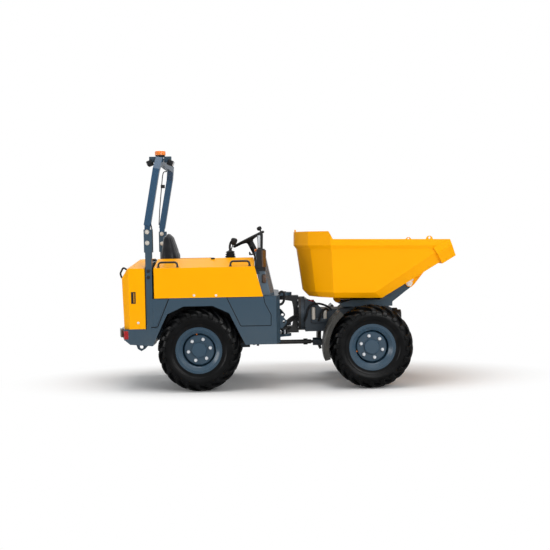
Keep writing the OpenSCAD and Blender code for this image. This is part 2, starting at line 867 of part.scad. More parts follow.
// Skip corner points, moved in by t; over draws the mouth and top further out
function skip_points(t, over) = let (zc = 875 + t * 0.5, zf = 824 + t, zt = 1440 + over,
        end = [front_overhang - 16 + over - t * 0.5, 1237 + 0.63 * over + t * 0.85])
    twin(concat(
        [for (p = skip_plan(skip_in(zf, t) + 44)) [p[0], p[1], zf]],
        [for (p = skip_plan(skip_in(zc, t))) [p[0], p[1], zc]],
        [for (p = skip_plan(skip_in(zt, t))) [p[0], p[1], zt]],
        [[113 - t * 0.3, skip_w - skip_in(zf, t) - 52, zf], [37 - t * 0.3, skip_w - skip_in(zc, t), zc],
            [end[0], skip_w - 77 - t + over * 0.1, end[1]],
            [end[0] - 52, skip_w - skip_in(end[1] + 102, t), end[1] + 102],
            [end[0] - 102 - over, skip_w - skip_in(zt, t), zt]]));

// Skip rim: flares out from the wall, then stands upright
function rim_points() = twin(concat(
    [for (p = skip_plan(skip_in(1275, 0))) [p[0], p[1], 1275]],
    [for (p = skip_plan(-29)) [p[0], p[1], 1310]],
    [for (p = skip_plan(-29)) [p[0], p[1], 1440]],
    [[front_overhang - 36, skip_w - skip_in(1275, 0), 1275], [front_overhang - 53, skip_w + 29, 1310],
        [front_overhang - 119, skip_w + 29, 1440]]));

module skip() {
    fo = front_overhang;
    color(yellow) {
        translate([tip[0], 0, tip[1]])
            rotate([0, skip_rake, 0])
                translate([front_x - tip[0], 0, -tip[1]]) {
                    difference() {
                        union() {
                            convex(skip_points(0, 0));
                            convex(rim_points());
                            intersection() {
                                convex(skip_points(-22, 0));
                                along_y([[fo - 102, 1110], [fo + 4, 1175], [fo - 6, 1237],
                                    [fo - 78, 1376], [fo - 226, 1290]],
                                    -skip_w - 100, skip_w + 100);
                            }
                        }
                        convex(skip_points(plate, 120));
                        along_y([[-357, 1368], [-402, 1450], [-402, 1600], [900, 1600], [900, 1368]],
                            -skip_w - 300, skip_w + 300);
                        along_y([[fo - 6, 1237], [fo - 86, 1395], [fo + 120, 1395], [fo + 120, 1100]],
                            -skip_w - 300, skip_w + 300);
                    }
                    both()
                        difference() {
                            along_y([[486, 1340], [500, 1385], [515, 1398], [537, 1398], [552, 1385],
                                [566, 1340]],
                                skip_w - 2, skip_w + 13);
                            pin_y(526, 1381, skip_w - 10, skip_w + 20, 11);
                        }
                }
        both() {
            along_y([[tip[0] - 60, tip[1] + 20], [tip[0] - 30, tip[1] - 18], [tip[0] - 12, tip[1] - 34],
                [tip[0] + 20, tip[1] - 36], [tip[0] + 48, tip[1] - 10], [tip[0] + 175, tip[1] + 148],
                [tip[0] + 130, tip[1] + 128]], 256, 276);
            pin_y(tip[0], tip[1], 225, 276, 20);
        }
        both()
            along_y([[rod_pin[0] - 40, 845], [rod_pin[0] - 30, 785], [rod_pin[0] - 12, 768],
                [rod_pin[0] + 12, 768],
                [rod_pin[0] + 30, 785], [rod_pin[0] + 40, 845]], 40, 56);
    }
}

rear_frame();
side_panel_right();
side_panel_left();
arch_liners();
bumper();
tail_lamps();
lashing_eyes();
left_cover();
platform();
seat_cushion();
seat_back();
shield();
dash();
joystick();
front_lights();
rops_base();
engine();
rear_axle();
tail_hood();
tail_handle();
engine_hood();
hood_handles();
access_door();
rops_hoop();
work_lamps();
beacon();
steering_wheel();
rim_rear_right();
tyre_rear_right();
rim_rear_left();
tyre_rear_left();
steer_barrel();
steer_rod();
yoke();
prop_cross();
prop_tube();
front_frame();
front_axle();
front_fenders();
accumulators();
nose_lamps();
rim_front_right();
tyre_front_right();
rim_front_left();
tyre_front_left();
turntable();
tip_barrel();
tip_rod();
skip();
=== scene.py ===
# %% [markdown]
# # A site dumper, dressed in Blender
# The machine's solids come from a CAD model: frames, covers, wheels, skip and every moving joint.
# This lesson loads them as a fixed frame, gives each surface its finish, and adds the pieces that a
# CAD model leaves plain: tyre lugs, a padded seat, lamps, handles, hoses and bolts.
# All lengths are metres. +X is forward, +Y is the machine's left and Z is up from the ground.

# %% Load the frame
import json
import math

import bmesh
import bpy
import numpy as np
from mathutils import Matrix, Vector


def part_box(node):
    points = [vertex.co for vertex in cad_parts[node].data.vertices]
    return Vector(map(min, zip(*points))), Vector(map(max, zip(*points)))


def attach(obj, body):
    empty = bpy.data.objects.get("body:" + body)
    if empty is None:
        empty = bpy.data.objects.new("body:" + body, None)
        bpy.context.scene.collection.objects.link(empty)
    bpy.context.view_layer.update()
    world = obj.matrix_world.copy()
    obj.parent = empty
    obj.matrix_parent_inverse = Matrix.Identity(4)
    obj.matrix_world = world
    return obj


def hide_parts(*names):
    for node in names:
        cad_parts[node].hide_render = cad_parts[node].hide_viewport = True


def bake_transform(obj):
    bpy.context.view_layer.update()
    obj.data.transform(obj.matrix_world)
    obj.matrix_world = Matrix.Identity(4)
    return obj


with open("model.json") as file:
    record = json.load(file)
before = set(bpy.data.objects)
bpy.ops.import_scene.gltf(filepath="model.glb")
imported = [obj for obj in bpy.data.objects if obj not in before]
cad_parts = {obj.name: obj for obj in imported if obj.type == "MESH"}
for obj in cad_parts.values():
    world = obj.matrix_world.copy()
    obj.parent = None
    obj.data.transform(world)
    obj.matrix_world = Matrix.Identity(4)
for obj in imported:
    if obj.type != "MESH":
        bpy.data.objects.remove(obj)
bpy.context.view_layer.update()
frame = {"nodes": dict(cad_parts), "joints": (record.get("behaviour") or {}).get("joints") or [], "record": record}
scene = bpy.context.scene
nodes = frame["nodes"]

# %% [markdown]
# A piece is placed from what carries it, so the lesson asks the frame where things are instead of
# repeating numbers.

# %% Places on the machine


def low(node):
    """A node's lowest corner."""
    return np.array(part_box(node)[0])


def high(node):
    """A node's highest corner."""
    return np.array(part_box(node)[1])


def middle(node):
    """The middle of a node's box."""
    return (low(node) + high(node)) / 2


def unit(way):
    """The same direction, one long."""
    return way / np.linalg.norm(way)


WHEELS = ("rear_right", "rear_left", "front_right", "front_left")
joints = {joint["name"]: joint for joint in frame["joints"]}
rear_axle = middle("tyre_rear_right") * [1, 0, 1]
front_axle = middle("tyre_front_right") * [1, 0, 1]
PINS = ("steer", "tip", "hoop_fold", "steering_wheel_turn")
pivot, tip_pin, hoop_pin, wheel_hub = (np.array(joints[pin]["pos_m"]) for pin in PINS)
wheel_axis = np.array(joints["steering_wheel_turn"]["axis"])
half_width = high("side_panel_left")[1]
print("axles at x", rear_axle[0].round(3), front_axle[0].round(3), "pivot at x", pivot[0].round(3))

# %% [markdown]
# ## Camera
# The photograph looks at the machine's right side from about nine metres, a little above the covers.
# A point straight ahead of the camera, along +Y, lies at one pixel of the picture, and the picture
# is turned by about one degree. Two unit vectors for right and up, tilted by that turn, and the
# sight line bent from +Y to the picture's middle give the camera's matrix.

# %% Camera
PICTURE = 550
STRAIGHT_AHEAD = (268.0, 247.0)
FOCAL_PIXELS = 887.5
PICTURE_TURN = math.radians(1.068)
SENSOR = 36.0
camera_place = np.array([-0.173, -8.7, 1.320])

right = np.array([math.cos(PICTURE_TURN), 0.0, -math.sin(PICTURE_TURN)])
up = np.array([math.sin(PICTURE_TURN), 0.0, math.cos(PICTURE_TURN)])
aside = (PICTURE / 2 - STRAIGHT_AHEAD[0]) / FOCAL_PIXELS
above = (STRAIGHT_AHEAD[1] - PICTURE / 2) / FOCAL_PIXELS
sight = unit(np.array([0.0, 1.0, 0.0]) + aside * right + above * up)
right = unit(np.cross(sight, up))
up = np.cross(right, sight)
camera_matrix = np.eye(4)
camera_matrix[:3, :4] = np.stack([right, up, -sight, camera_place], 1)

camera_data = bpy.data.cameras.new("camera")
camera_data.sensor_width = SENSOR
camera_data.lens = FOCAL_PIXELS / PICTURE * SENSOR
camera_data.clip_end = 200.0
camera = bpy.data.objects.new("camera", camera_data)
camera.matrix_world = camera_matrix.T.tolist()
scene.collection.objects.link(camera)
scene.camera = camera
print("lens", round(camera_data.lens, 2), "mm")

# %% [markdown]
# ## Shader maths
# A paint is a small sum: a colour plus a cloud of noise, a roughness that follows it, a fine bump.
# Written as Python expressions such a sum is easy to read. `Wire` wraps one output socket and turns
# + - * into Math nodes. `Finish.node` adds any other node: its type, then its settings, then the
# values or links of its sockets.

# %% Wires and finishes


class Wire:
    """One output socket; arithmetic on it adds Math nodes to its finish."""

    def __init__(self, finish, socket):
        self.finish = finish
        self.socket = socket

    def maths(self, operation, *values):
        return self.finish.node("Math", {"operation": operation}, dict(enumerate(values)))

    def __add__(self, other):
        return self.maths("ADD", self, other)

    def __rsub__(self, other):
        return self.maths("SUBTRACT", other, self)

    def __mul__(self, other):
        return self.maths("MULTIPLY", self, other)

    __radd__ = __add__
    __rmul__ = __mul__

    def most(self, other):
        return self.maths("MAXIMUM", self, other)

    def ramp(self, start, end):
        """0 below start, 1 above end, smooth between."""
        sockets = {"Value": self, "From Min": start, "From Max": end}
        return self.finish.node("MapRange", {"interpolation_type": "SMOOTHSTEP"}, sockets)


class Finish:
    """A material, or a world, made node by node."""

    def __init__(self, name, kind=bpy.data.materials):
        self.owner = kind.new(name)
        self.owner.use_nodes = True
        self.tree = self.owner.node_tree
        self.tree.nodes.clear()
        self.place = self.node("TexCoord", out="Object")

    def node(self, kind, settings=None, sockets=None, out=0):
        made = self.tree.nodes.new("ShaderNode" + kind)
        for key, value in (settings or {}).items():
            setattr(made, key, value)
        for key, value in (sockets or {}).items():
            if isinstance(value, Wire):
                self.tree.links.new(value.socket, made.inputs[key])
            else:
                made.inputs[key].default_value = value
        return Wire(self, made.outputs[out]) if made.outputs else None

    def noise(self, scale, detail=2.0, stretch=None):
        """A cloud of grey between 0 and 1; stretch gives each axis its own scale."""
        place = self.place
        if stretch:
            place = self.node("Mapping", None, {"Vector": place, "Scale": stretch})
        return self.node("TexNoise", None, {"Vector": place, "Scale": scale, "Detail": detail})

    def blend(self, share, first, second):
        """A colour that goes from the first to the second as share goes from 0 to 1."""
        sockets = {0: share, 6: first, 7: second}
        return self.node("Mix", {"data_type": "RGBA"}, sockets, out=2)

    def bump(self, height, distance, strength=1.0):
        return self.node("Bump", None, {"Height": height, "Distance": distance, "Strength": strength})

    def done(self, **sockets):
        """Closes the finish with a Principled shader; names use _ for a space."""
        named = {key.replace("_", " "): value for key, value in sockets.items()}
        shader = self.node("BsdfPrincipled", None, named)
        self.node("OutputMaterial", None, {"Surface": shader})
        return self.owner


def shade(red, green, blue):
    """An everyday 0 to 255 colour as the linear colour that a shader takes."""
    part = np.array([red, green, blue]) / 255.0
    linear = np.where(part <= 0.04045, part / 12.92, ((part + 0.055) / 1.055) ** 2.4)
    return (*linear.tolist(), 1.0)


# %% [markdown]
# ## Paints
# The covers and the skip are sprayed in a machine yellow: a slow drift of tone and the dimples of
# sprayed lacquer a couple of millimetres apart. The frame has a slate paint with a finer grain under
# a clear coat, and the hoop a bluer one. Dust settles low on the machine, so paints turn a little
# duller towards the ground.

# %% Paints


def paint(name, colour, deep, dusty, roughness, grain, coat, shine=0.4):
    """Sprayed paint: two tones mixed by slow noise, dust towards the ground, lacquer dimples."""
    made = Finish(name)
    cloud = made.noise(1.7, 3.0)
    height = made.node("SeparateXYZ", None, {0: made.place}, out=2)
    dust = (1.0 - height.ramp(0.25, 0.95)) * made.noise(9.0, 6.0) * 0.35
    tone = made.blend(dust, made.blend(cloud, shade(*colour), shade(*deep)), shade(*dusty))
    dimples = made.noise(grain, 1.0)
    return made.done(
        Base_Color=tone, Roughness=roughness + 0.10 * cloud + 0.25 * dust, Coat_Weight=coat,
        Coat_Roughness=0.12, Specular_IOR_Level=shine, Normal=made.bump(dimples, 0.0004, 0.25))


YELLOW = paint("yellow_paint", (255, 175, 0), (250, 167, 0), (214, 156, 40), 0.36, 420.0, 0.02, 0.07)
SLATE = paint("slate_paint", (54, 76, 92), (48, 69, 85), (88, 93, 94), 0.36, 700.0, 0.40, 0.3)
WHEEL = paint("wheel_paint", (42, 73, 94), (37, 65, 85), (66, 80, 88), 0.24, 600.0, 0.45, 0.5)
HOOP = paint("hoop_paint", (40, 76, 105), (36, 69, 97), (50, 82, 106), 0.36, 700.0, 0.40, 0.3)
# The shield's paint is the slate under a thicker, glossier coat, which is real gloss, with a paler colour that is
# painted sheen.
SLATE_SHEEN = paint("shield_paint", (84, 104, 120), (78, 97, 112), (104, 116, 124), 0.22, 600.0, 0.90, 0.7)
AXLE = paint("axle_paint", (50, 63, 75), (42, 54, 65), (80, 80, 76), 0.36, 500.0, 0.05)
BLACK = paint("black_paint", (34, 36, 39), (27, 29, 32), (84, 80, 74), 0.40, 600.0, 0.10)
print("paints:", [m.name for m in bpy.data.materials if m.name.endswith("_paint")])

# %% [markdown]
# ## Rubber, plastic, vinyl and metal
# Moulded plastic has a fine leather-like grain, which a Voronoi cell pattern gives. Tyre rubber is
# nearly black with a dusty bloom in slow patches. The seat's vinyl has larger, softer cells. Plated
# steel and chrome are metals whose roughness drifts, with faint lines where they were turned.

# %% Rubber, plastic, vinyl and metal


def moulded(name, colour, pale, roughness, cells, depth, shine=0.25):
    """Moulded skin: cell grain in the bump and a pale bloom that follows slow noise."""
    made = Finish(name)
    bloom = made.noise(14.0, 5.0).ramp(0.45, 0.8)
    grain = made.node("TexVoronoi", None, {"Vector": made.place, "Scale": cells})
    tone = made.blend(bloom, shade(*colour), shade(*pale))
    return made.done(
        Base_Color=tone, Roughness=roughness + 0.12 * bloom, Specular_IOR_Level=shine,
        Normal=made.bump(grain, depth, 0.5))


def metal(name, colour, dull, roughness, lines):
    """Bare or plated metal: tone and roughness drift, fine lines run along X."""
    made = Finish(name)
    drift = made.noise(22.0, 3.0)
    scored = made.noise(lines, 1.0, stretch=(0.08, 1.0, 1.0))
    tone = made.blend(drift, shade(*colour), shade(*dull))
    return made.done(
        Base_Color=tone, Metallic=1.0, Roughness=roughness + 0.14 * drift,
        Normal=made.bump(scored, 0.0002, 0.15))


PLASTIC = moulded("black_plastic", (30, 31, 33), (44, 45, 47), 0.46, 900.0, 0.0003)
FENDER = moulded("fender_plastic", (46, 45, 42), (60, 58, 53), 0.34, 900.0, 0.0003, 0.4)
RUBBER = moulded("tyre_rubber", (9, 10, 11), (17, 18, 20), 0.29, 260.0, 0.0004, 0.17)
GRIP = moulded("rubber_grip", (26, 27, 29), (38, 39, 41), 0.55, 700.0, 0.0003)
VINYL = moulded("seat_vinyl", (24, 26, 30), (38, 40, 44), 0.34, 520.0, 0.0005)
CHROME = metal("chrome", (226, 228, 232), (196, 200, 206), 0.08, 900.0)
ZINC = metal("zinc_plate", (214, 216, 218), (168, 172, 178), 0.26, 600.0)
IRON = metal("cast_iron", (112, 114, 116), (82, 84, 86), 0.50, 300.0)


def lens(name, colour, deep, glow=0.0):
    """Coloured plastic lens: prism ribs in the bump, a smooth coat over them; its glow is painted light."""
    made = Finish(name)
    ribs = made.node("TexWave", {"bands_direction": "Z"}, {"Vector": made.place, "Scale": 60.0})
    tone = made.blend(ribs, shade(*colour), shade(*deep))
    return made.done(
        Base_Color=tone, Roughness=0.12 + 0.1 * made.noise(30.0), Coat_Weight=0.8,
        Emission_Color=tone, Emission_Strength=glow, Normal=made.bump(ribs, 0.001, 0.4))


# The amber and red lenses glow faintly. This is painted light, and it also lights the valve caps, the lever and
# stop buttons and the hose end, none of which is a lamp.
AMBER = lens("amber_lens", (250, 146, 0), (205, 78, 0), 0.08)
RED = lens("red_lens", (188, 12, 20), (124, 4, 8), 0.02)
CLEAR = lens("clear_lens", (224, 228, 232), (150, 156, 164))
SMOKE = lens("smoked_lens", (96, 66, 44), (48, 36, 30))
WHITE = paint("white_paint", (238, 238, 234), (226, 226, 222), (200, 196, 188), 0.35, 500.0, 0.3)
# The plated nuts, screws and bolts and the chrome vessels take pale non-metal paints: their light grey is their
# own, and the near-white is painted reflection of the white studio.
BRIGHT = paint("bright_plate", (238, 240, 243), (222, 226, 230), (196, 200, 204), 0.30, 500.0, 0.2)
SILVER = paint("silver_paint", (206, 200, 190), (188, 184, 176), (170, 166, 158), 0.30, 500.0, 0.2)
print("finishes:", len(bpy.data.materials))

# %% [markdown]
# Every node of the frame names a material slot in its record. One table from slot to finish dresses
# them all, and a piece made later takes the same finish, so that repainting one repaints both.

# %% Dress the nodes
FINISH_OF = {
    "yellow_paint": YELLOW, "frame_paint": SLATE, "axle_paint": AXLE, "wheel_paint": WHEEL,
    "black_paint": BLACK, "black_plastic": PLASTIC, "rubber_grip": GRIP, "tyre_rubber": RUBBER,
    "seat_cover": VINYL, "engine_iron": IRON, "bare_steel": ZINC, "chrome_rod": CHROME,
    "lamp_body": PLASTIC, "clear_lens": CLEAR, "amber_lens": AMBER, "red_lens": RED,
}
USUAL_SLOT = {finish.name: "bare_steel" for finish in (WHITE, BRIGHT, SILVER)}
for slot, finish in FINISH_OF.items():
    USUAL_SLOT.setdefault(finish.name, slot)
slot_of = {part["node"]: part["material_slot"] for part in frame["record"]["subparts"]}
bodies = frame["record"]["behaviour"]["bodies"]
body_of = {node: body for body, members in bodies.items() for node in members}
for node, thing in nodes.items():
    thing.data.materials.clear()
    thing.data.materials.append(FINISH_OF[slot_of[node]])
print("dressed", len(nodes), "nodes")

# %% [markdown]
# ## Surfaces from arrays
# A shape here is a grid of points: rows follow one parameter, columns the other. `surface` turns a
# grid into faces, `tube` carries a circle along a path, `turned` spins a profile about an axis and
# `block` is a box with rounded edges. Each returns points and faces, and `make` joins any number of
# them into one piece, closes doubled points, turns all faces outwards and lets it ride on a body.

# %% Grid helpers


def surface(points, loop_rows=False, loop_columns=False, caps=False):
    """Faces between neighbours of a grid; a loop joins last to first, caps close the end rows."""
    rows, columns = points.shape[:2]
    down, along = np.arange(rows - (not loop_rows)), np.arange(columns - (not loop_columns))
    i, j = np.meshgrid(down, along, indexing="ij")
    after, beside = (i + 1) % rows, (j + 1) % columns
    corners = [i * columns + j, after * columns + j, after * columns + beside, i * columns + beside]
    faces = [np.stack(corners, -1).reshape(-1, 4)]
    if caps:
        faces += [np.arange(columns)[None, ::-1], np.arange(columns)[None] + (rows - 1) * columns]
    return points.reshape(-1, 3), faces


def stack(outlines):
    """A closed body: outlines joined one to the next, the first and the last filled."""
    return surface(outlines, loop_columns=True, caps=True)


def around(count):
    """Angles evenly spaced round a circle."""
    return np.linspace(0, 2 * np.pi, count, endpoint=False)


def facing(way):
    """Three unit columns, the last along way: a turn that points a shape's Z there."""
    out = unit(np.array(way, float))
    aside_of = np.array([1.0, 0.0, 0.0]) if abs(out[0]) < 0.8 else np.array([0.0, 0.0, 1.0])
    first = unit(np.cross(aside_of, out))
    return np.stack([first, np.cross(out, first), out], 1)


def placed(shape, places, way=(0, 0, 1), turn=None):
    """Copies of a shape, its Z turned to way, one at each place."""
    points, faces = shape
    matrix = facing(way) if turn is None else turn
    places = np.atleast_2d(np.array(places, float))
    copies = points @ matrix.T + places[:, None, :]
    steps = np.arange(len(places))[:, None, None] * len(points)
    return copies.reshape(-1, 3), [(face[None] + steps).reshape(-1, face.shape[1]) for face in faces]


def moved(shapes, place, turn=np.eye(3)):
    """Several shapes taken to one place together, with one turn or none."""
    return [placed(shape, place, turn=turn) for shape in shapes]


def smooth_path(knots, count=40):
    """A curve through the knots: cubic pieces whose slopes are half the step between neighbours."""
    knots = np.array(knots, float)
    padded = np.vstack([2 * knots[0] - knots[1], knots, 2 * knots[-1] - knots[-2]])
    place = np.linspace(0, len(knots) - 1, count)
    index = np.minimum(place.astype(int), len(knots) - 2)
    t = (place - index)[:, None]
    a, b, c, d = (padded[index + k] for k in range(4))
    return b + 0.5 * t * (c - a + t * (2 * a - 5 * b + 4 * c - d + t * (3 * (b - c) + d - a)))


def tube(path, radius, sides=12, aside_of=(0, 1, 0)):
    """A circle carried along a path: across = slope x reference, the circle lies in across and lift."""
    path = np.array(path, float)
    slope = np.gradient(path, axis=0)
    slope /= np.linalg.norm(slope, axis=1)[:, None]
    across = np.cross(slope, np.array(aside_of, float))
    across /= np.linalg.norm(across, axis=1)[:, None]
    lift = np.cross(across, slope)
    angle = around(sides)[None, :, None]
    size = np.broadcast_to(radius, len(path))[:, None, None]
    ring = path[:, None] + size * (np.cos(angle) * across[:, None] + np.sin(angle) * lift[:, None])
    return stack(ring)


def turned(profile, sides=48):
    """A profile of (radius, height) spun about Z: x = r cos a, y = r sin a, z = height."""
    radius, height = np.array(profile, float).T
    angle = around(sides)[:, None]
    points = np.stack([radius * np.cos(angle), radius * np.sin(angle), height + 0 * angle], -1)
    return surface(points, loop_rows=True)


def rounded_outline(width, depth, radius, steps=4):
    """A rectangle about the origin whose corners are quarter circles."""
    angle = np.linspace(0, np.pi / 2, steps + 1) + np.arange(4)[:, None] * np.pi / 2
    corner = np.array([[1, 1], [-1, 1], [-1, -1], [1, -1]]) * (np.array([width, depth]) / 2 - radius)
    return (corner[:, None] + radius * np.stack([np.cos(angle), np.sin(angle)], -1)).reshape(-1, 2)


def block(lowest, highest, radius):
    """A box with round edges: its outline shrinks by a quarter circle towards both ends."""
    lowest, highest = np.array(lowest, float), np.array(highest, float)
    size = highest - lowest
    bend = np.linspace(0, np.pi / 2, 4)
    inset = np.concatenate([radius * (1 - np.sin(bend)), radius * (1 - np.sin(bend[::-1]))])
    level = np.concatenate([radius * (1 - np.cos(bend)), size[2] - radius * (1 - np.cos(bend[::-1]))])
    outline = rounded_outline(size[0], size[1], radius)
    shrink = 1 - 2 * inset[:, None, None] / size[:2]
    rows = np.concatenate([outline[None] * shrink, np.repeat(level[:, None, None], len(outline), 1)], -1)
    centre = [(lowest[0] + highest[0]) / 2, (lowest[1] + highest[1]) / 2, lowest[2]]
    return stack(rows + np.array(centre))


def bolt(radius, height, skirt=1.25):
    """Washer, six-sided head with a chamfer, standing on Z = 0."""
    washer = turned([[0, 0], [skirt * radius, 0], [skirt * radius, 0.16 * height], [0, 0.16 * height]], 20)
    angle = np.arange(6) * np.pi / 3
    ring = np.stack([np.cos(angle), np.sin(angle), 0 * angle], -1)
    sizes = np.array([1.0, 1.0, 0.84])[:, None, None] * [radius, radius, 0]
    levels = np.array([0.0, 0.8, 1.0])[:, None, None] * [0, 0, height]
    head = stack(ring[None] * sizes + levels)
    return together(washer, head)


def together(*shapes):
    """Several shapes as one."""
    points, faces, start = [], [], 0
    for shape_points, shape_faces in shapes:
        points.append(shape_points)
        faces += [face + start for face in shape_faces]
        start += len(shape_points)
    return np.concatenate(points), faces


def make(name, carrier, finish, *shapes, slot=None, instead=False, smooth=38.0):
    """One piece from shapes: doubles closed, faces outwards, soft shading below the smooth angle.

    It rides on the body of the node that carries it, and may be shown instead of that node. Its slot
    argument is not used.
    """
    points, faces = together(*shapes)
    mesh = bpy.data.meshes.new(name)
    mesh.from_pydata(points.tolist(), [], [row for face in faces for row in face.tolist()])
    work = bmesh.new()
    work.from_mesh(mesh)
    bmesh.ops.remove_doubles(work, verts=work.verts, dist=1e-6)
    bmesh.ops.recalc_face_normals(work, faces=work.faces)
    work.to_mesh(mesh)
    work.free()
    mesh.shade_smooth()
    mesh.set_sharp_from_angle(angle=math.radians(smooth))
    mesh.materials.append(finish)
    piece = bpy.data.objects.new(name, mesh)
    scene.collection.objects.link(piece)
    if carrier:
        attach(piece, body_of[carrier])
    if instead:
        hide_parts(carrier)
    print(name, len(mesh.polygons), "faces")
    return piece


# %% [markdown]
# ## Sheet metal with real edges
# A folded or cut plate never has a knife edge: light runs along its small radius. The CAD solids of
# the covers, the skip and the frame are sharp, so a copy of each is welded at its doubled points,
# its flat faces joined, and a Bevel of a few millimetres rounds every fold sharper than nine degrees.

# %% Rounded copies of the plates
EDGE_OF = {
    "skip": 0.004, "engine_hood": 0.003, "left_cover": 0.003, "tail_hood": 0.003, "bumper": 0.005,
    "side_panel_right": 0.002, "side_panel_left": 0.002, "access_door": 0.002, "shield": 0.003,
    "rops_base": 0.004, "rops_hoop": 0.005, "turntable": 0.003, "platform": 0.002,
    "front_fenders": 0.006, "tail_lamps": 0.003, "rear_frame": 0.003, "front_frame": 0.003,
}
LOOK_OF = {"rops_hoop": HOOP, "shield": SLATE_SHEEN, "front_fenders": FENDER}
FOLD = 9.0
FLAT = math.radians(0.5)


def rounded(node, edge):
    """A copy of a node with its edges rounded, standing for it."""
    work = bmesh.new()
    work.from_mesh(nodes[node].data)
    bmesh.ops.remove_doubles(work, verts=work.verts, dist=1e-5)
    bmesh.ops.dissolve_limit(work, angle_limit=FLAT, verts=work.verts, edges=work.edges)
    points = np.array([vertex.co for vertex in work.verts])
    faces = [np.array([[vertex.index for vertex in face.verts]]) for face in work.faces]
    work.free()
    look = LOOK_OF.get(node, FINISH_OF[slot_of[node]])
    piece = make(node + "_plate", node, look, (points, faces),
                 slot=slot_of[node], instead=True, smooth=FOLD)
    bevel = piece.modifiers.new("edge", "BEVEL")
    bevel.width = edge
    bevel.segments = 2
    bevel.limit_method = "ANGLE"
    bevel.angle_limit = math.radians(FOLD)
    bevel.use_clamp_overlap = True


for node, edge in EDGE_OF.items():
    rounded(node, edge)

# %% [markdown]
# ## Tyres
# The tyres are deep-lugged: a round carcass with twenty bars a side that start near the middle, sweep
# back to the shoulder and fold over it, so that their ends show from the side. The carcass is one
# closed curve spun about the axle. A bar is a trapezium carried along its own line on that curve.

# %% Tyres
LUGS_A_SIDE = 20
LUG_HEIGHT = 0.027
LUG_SWEEP = math.radians(21.0)
LUG_BASE = np.array([1.0, 0.80, 0.66, -0.66, -0.80, -1.0])
LUG_TALL = np.array([-0.25, 0.80, 1.0, 1.0, 0.80, -0.25])
SECTION_TURN = math.radians(137.0)
SQUARENESS = 0.72
SHELL_INSET = 0.004
SIDEWALL_END = 0.876
SIDEWALL_BANDS = ((0.80, 0.02), (0.68, 0.012))
BAND_HEIGHT = 0.0022
RIM_DEPTH = 0.1905
BEAD = np.array([[0.036, 0.1146], [0.022, 0.1136], [0.003, 0.1125]])


def carcass(depth, tyre_radius, half_section, rim_radius):
    """Point on the tyre's section: depth 0 is the crown's middle, 1 the bead; r falls and y bulges."""
    turn = depth * SECTION_TURN
    centre = (tyre_radius - LUG_HEIGHT + rim_radius) / 2 + 0.012
    tall = tyre_radius - LUG_HEIGHT - centre
    radius = centre + tall * np.sign(np.cos(turn)) * np.abs(np.cos(turn)) ** SQUARENESS
    across = half_section * np.abs(np.sin(turn)) ** SQUARENESS
    return radius, across


def tyre_shapes(radius, half_section, rim_radius):
    """Carcass ring and both rows of bars, about the Z axis, with +Z outwards."""
    shell = half_section - SHELL_INSET
    depth = np.linspace(-SIDEWALL_END, SIDEWALL_END, 61)
    ring_radius, across = carcass(np.abs(depth), radius, shell, rim_radius)
    for place, width in SIDEWALL_BANDS:
        across = across + BAND_HEIGHT * np.exp(-(((np.abs(depth) - place) / width) ** 2))
    bead = BEAD + [rim_radius, 0.0]
    section = np.stack([ring_radius, np.sign(depth) * across], 1)
    section = np.vstack([bead[::-1] * [1, -1], section, bead])
    shapes = [turned(np.vstack([section, section[:1]]), 120)]
    along = np.linspace(-0.04, 0.60, 11)[:, None]
    lug_radius, lug_across = carcass(np.abs(along), radius, shell, rim_radius)
    lug_across = np.sign(along) * lug_across
    steep = np.clip((along - 0.24) / 0.36, 0, 1)
    rise = LUG_HEIGHT * (1 - 0.5 * steep ** 1.5)
    out_r, out_z = np.cos(along * 2.2), np.sin(along * 2.2)
    half_bar = 0.021 + 0.004 * np.clip(along / 0.3, 0, 1)
    lead = -LUG_SWEEP * np.clip(along, 0, 0.42) / 0.42
    pitch = 2 * np.pi / LUGS_A_SIDE
    for side in (1, -1):
        first = np.arange(LUGS_A_SIDE) * pitch + (side < 0) * pitch / 2
        r = lug_radius + rise * LUG_TALL * out_r
        z = side * (lug_across + rise * LUG_TALL * out_z)
        angle = lead + half_bar * LUG_BASE / r + first[:, None, None]
        bars = np.stack([r * np.cos(angle), r * np.sin(angle), z + 0 * angle], -1)
        shapes += [stack(bar) for bar in bars]
    return shapes


for wheel in WHEELS:
    node = "tyre_" + wheel
    centre = middle(node)
    radius = (high(node)[2] - low(node)[2]) / 2
    half_section = (high(node)[1] - low(node)[1]) / 2
    turn = np.array([[1.0, 0.0, 0.0], [0.0, 0.0, np.sign(centre[1])], [0.0, 1.0, 0.0]])
    shapes = tyre_shapes(radius, half_section, radius - RIM_DEPTH)
    make("tyre_lugged_" + wheel, node, RUBBER, *moved(shapes, centre, turn), instead=True)

# %% [markdown]
# ## Wheel nuts and valves
# Six plated nuts hold each wheel. They sit on the disc's bolt circle with the stud's end showing. A
# stepped ring lines the rim, and a rubber valve with a coloured cap stands between it and the disc.

# %% Wheel nuts and valves
NUTS = 6
NUT_CIRCLE = 0.1025
NUT_TURN = {"rear": 9.5, "front": -16.0}
VALVE_TURN = {"rear": 98.0, "front": 196.0}
VALVE_CIRCLE, VALVE_DEPTH = 0.147, 0.030
DISC_FACE = 0.052
DISH = [[0.1895, 0.1125], [0.1840, 0.1088], [0.1830, 0.1060], [0.1745, 0.1003], [0.1735, 0.0975],
        [0.1650, 0.0918], [0.1640, 0.0890], [0.1555, 0.0833], [0.1525, 0.0790], [0.1515, 0.0420],
        [0.1560, 0.0420], [0.1895, 0.1050], [0.1895, 0.1125]]
STUD = [[0, 0], [0.0075, 0], [0.0075, 0.023], [0.006, 0.0255], [0, 0.0255]]
STEM = [[0, -0.03], [0.022, -0.03], [0.022, 0.014], [0.014, 0.023], [0.009, 0.034], [0, 0.034]]
CAP = [[0, 0.030], [0.0062, 0.030], [0.0062, 0.042], [0.004, 0.044], [0, 0.044]]
nut = bolt(0.0153, 0.0205, skirt=1.0)
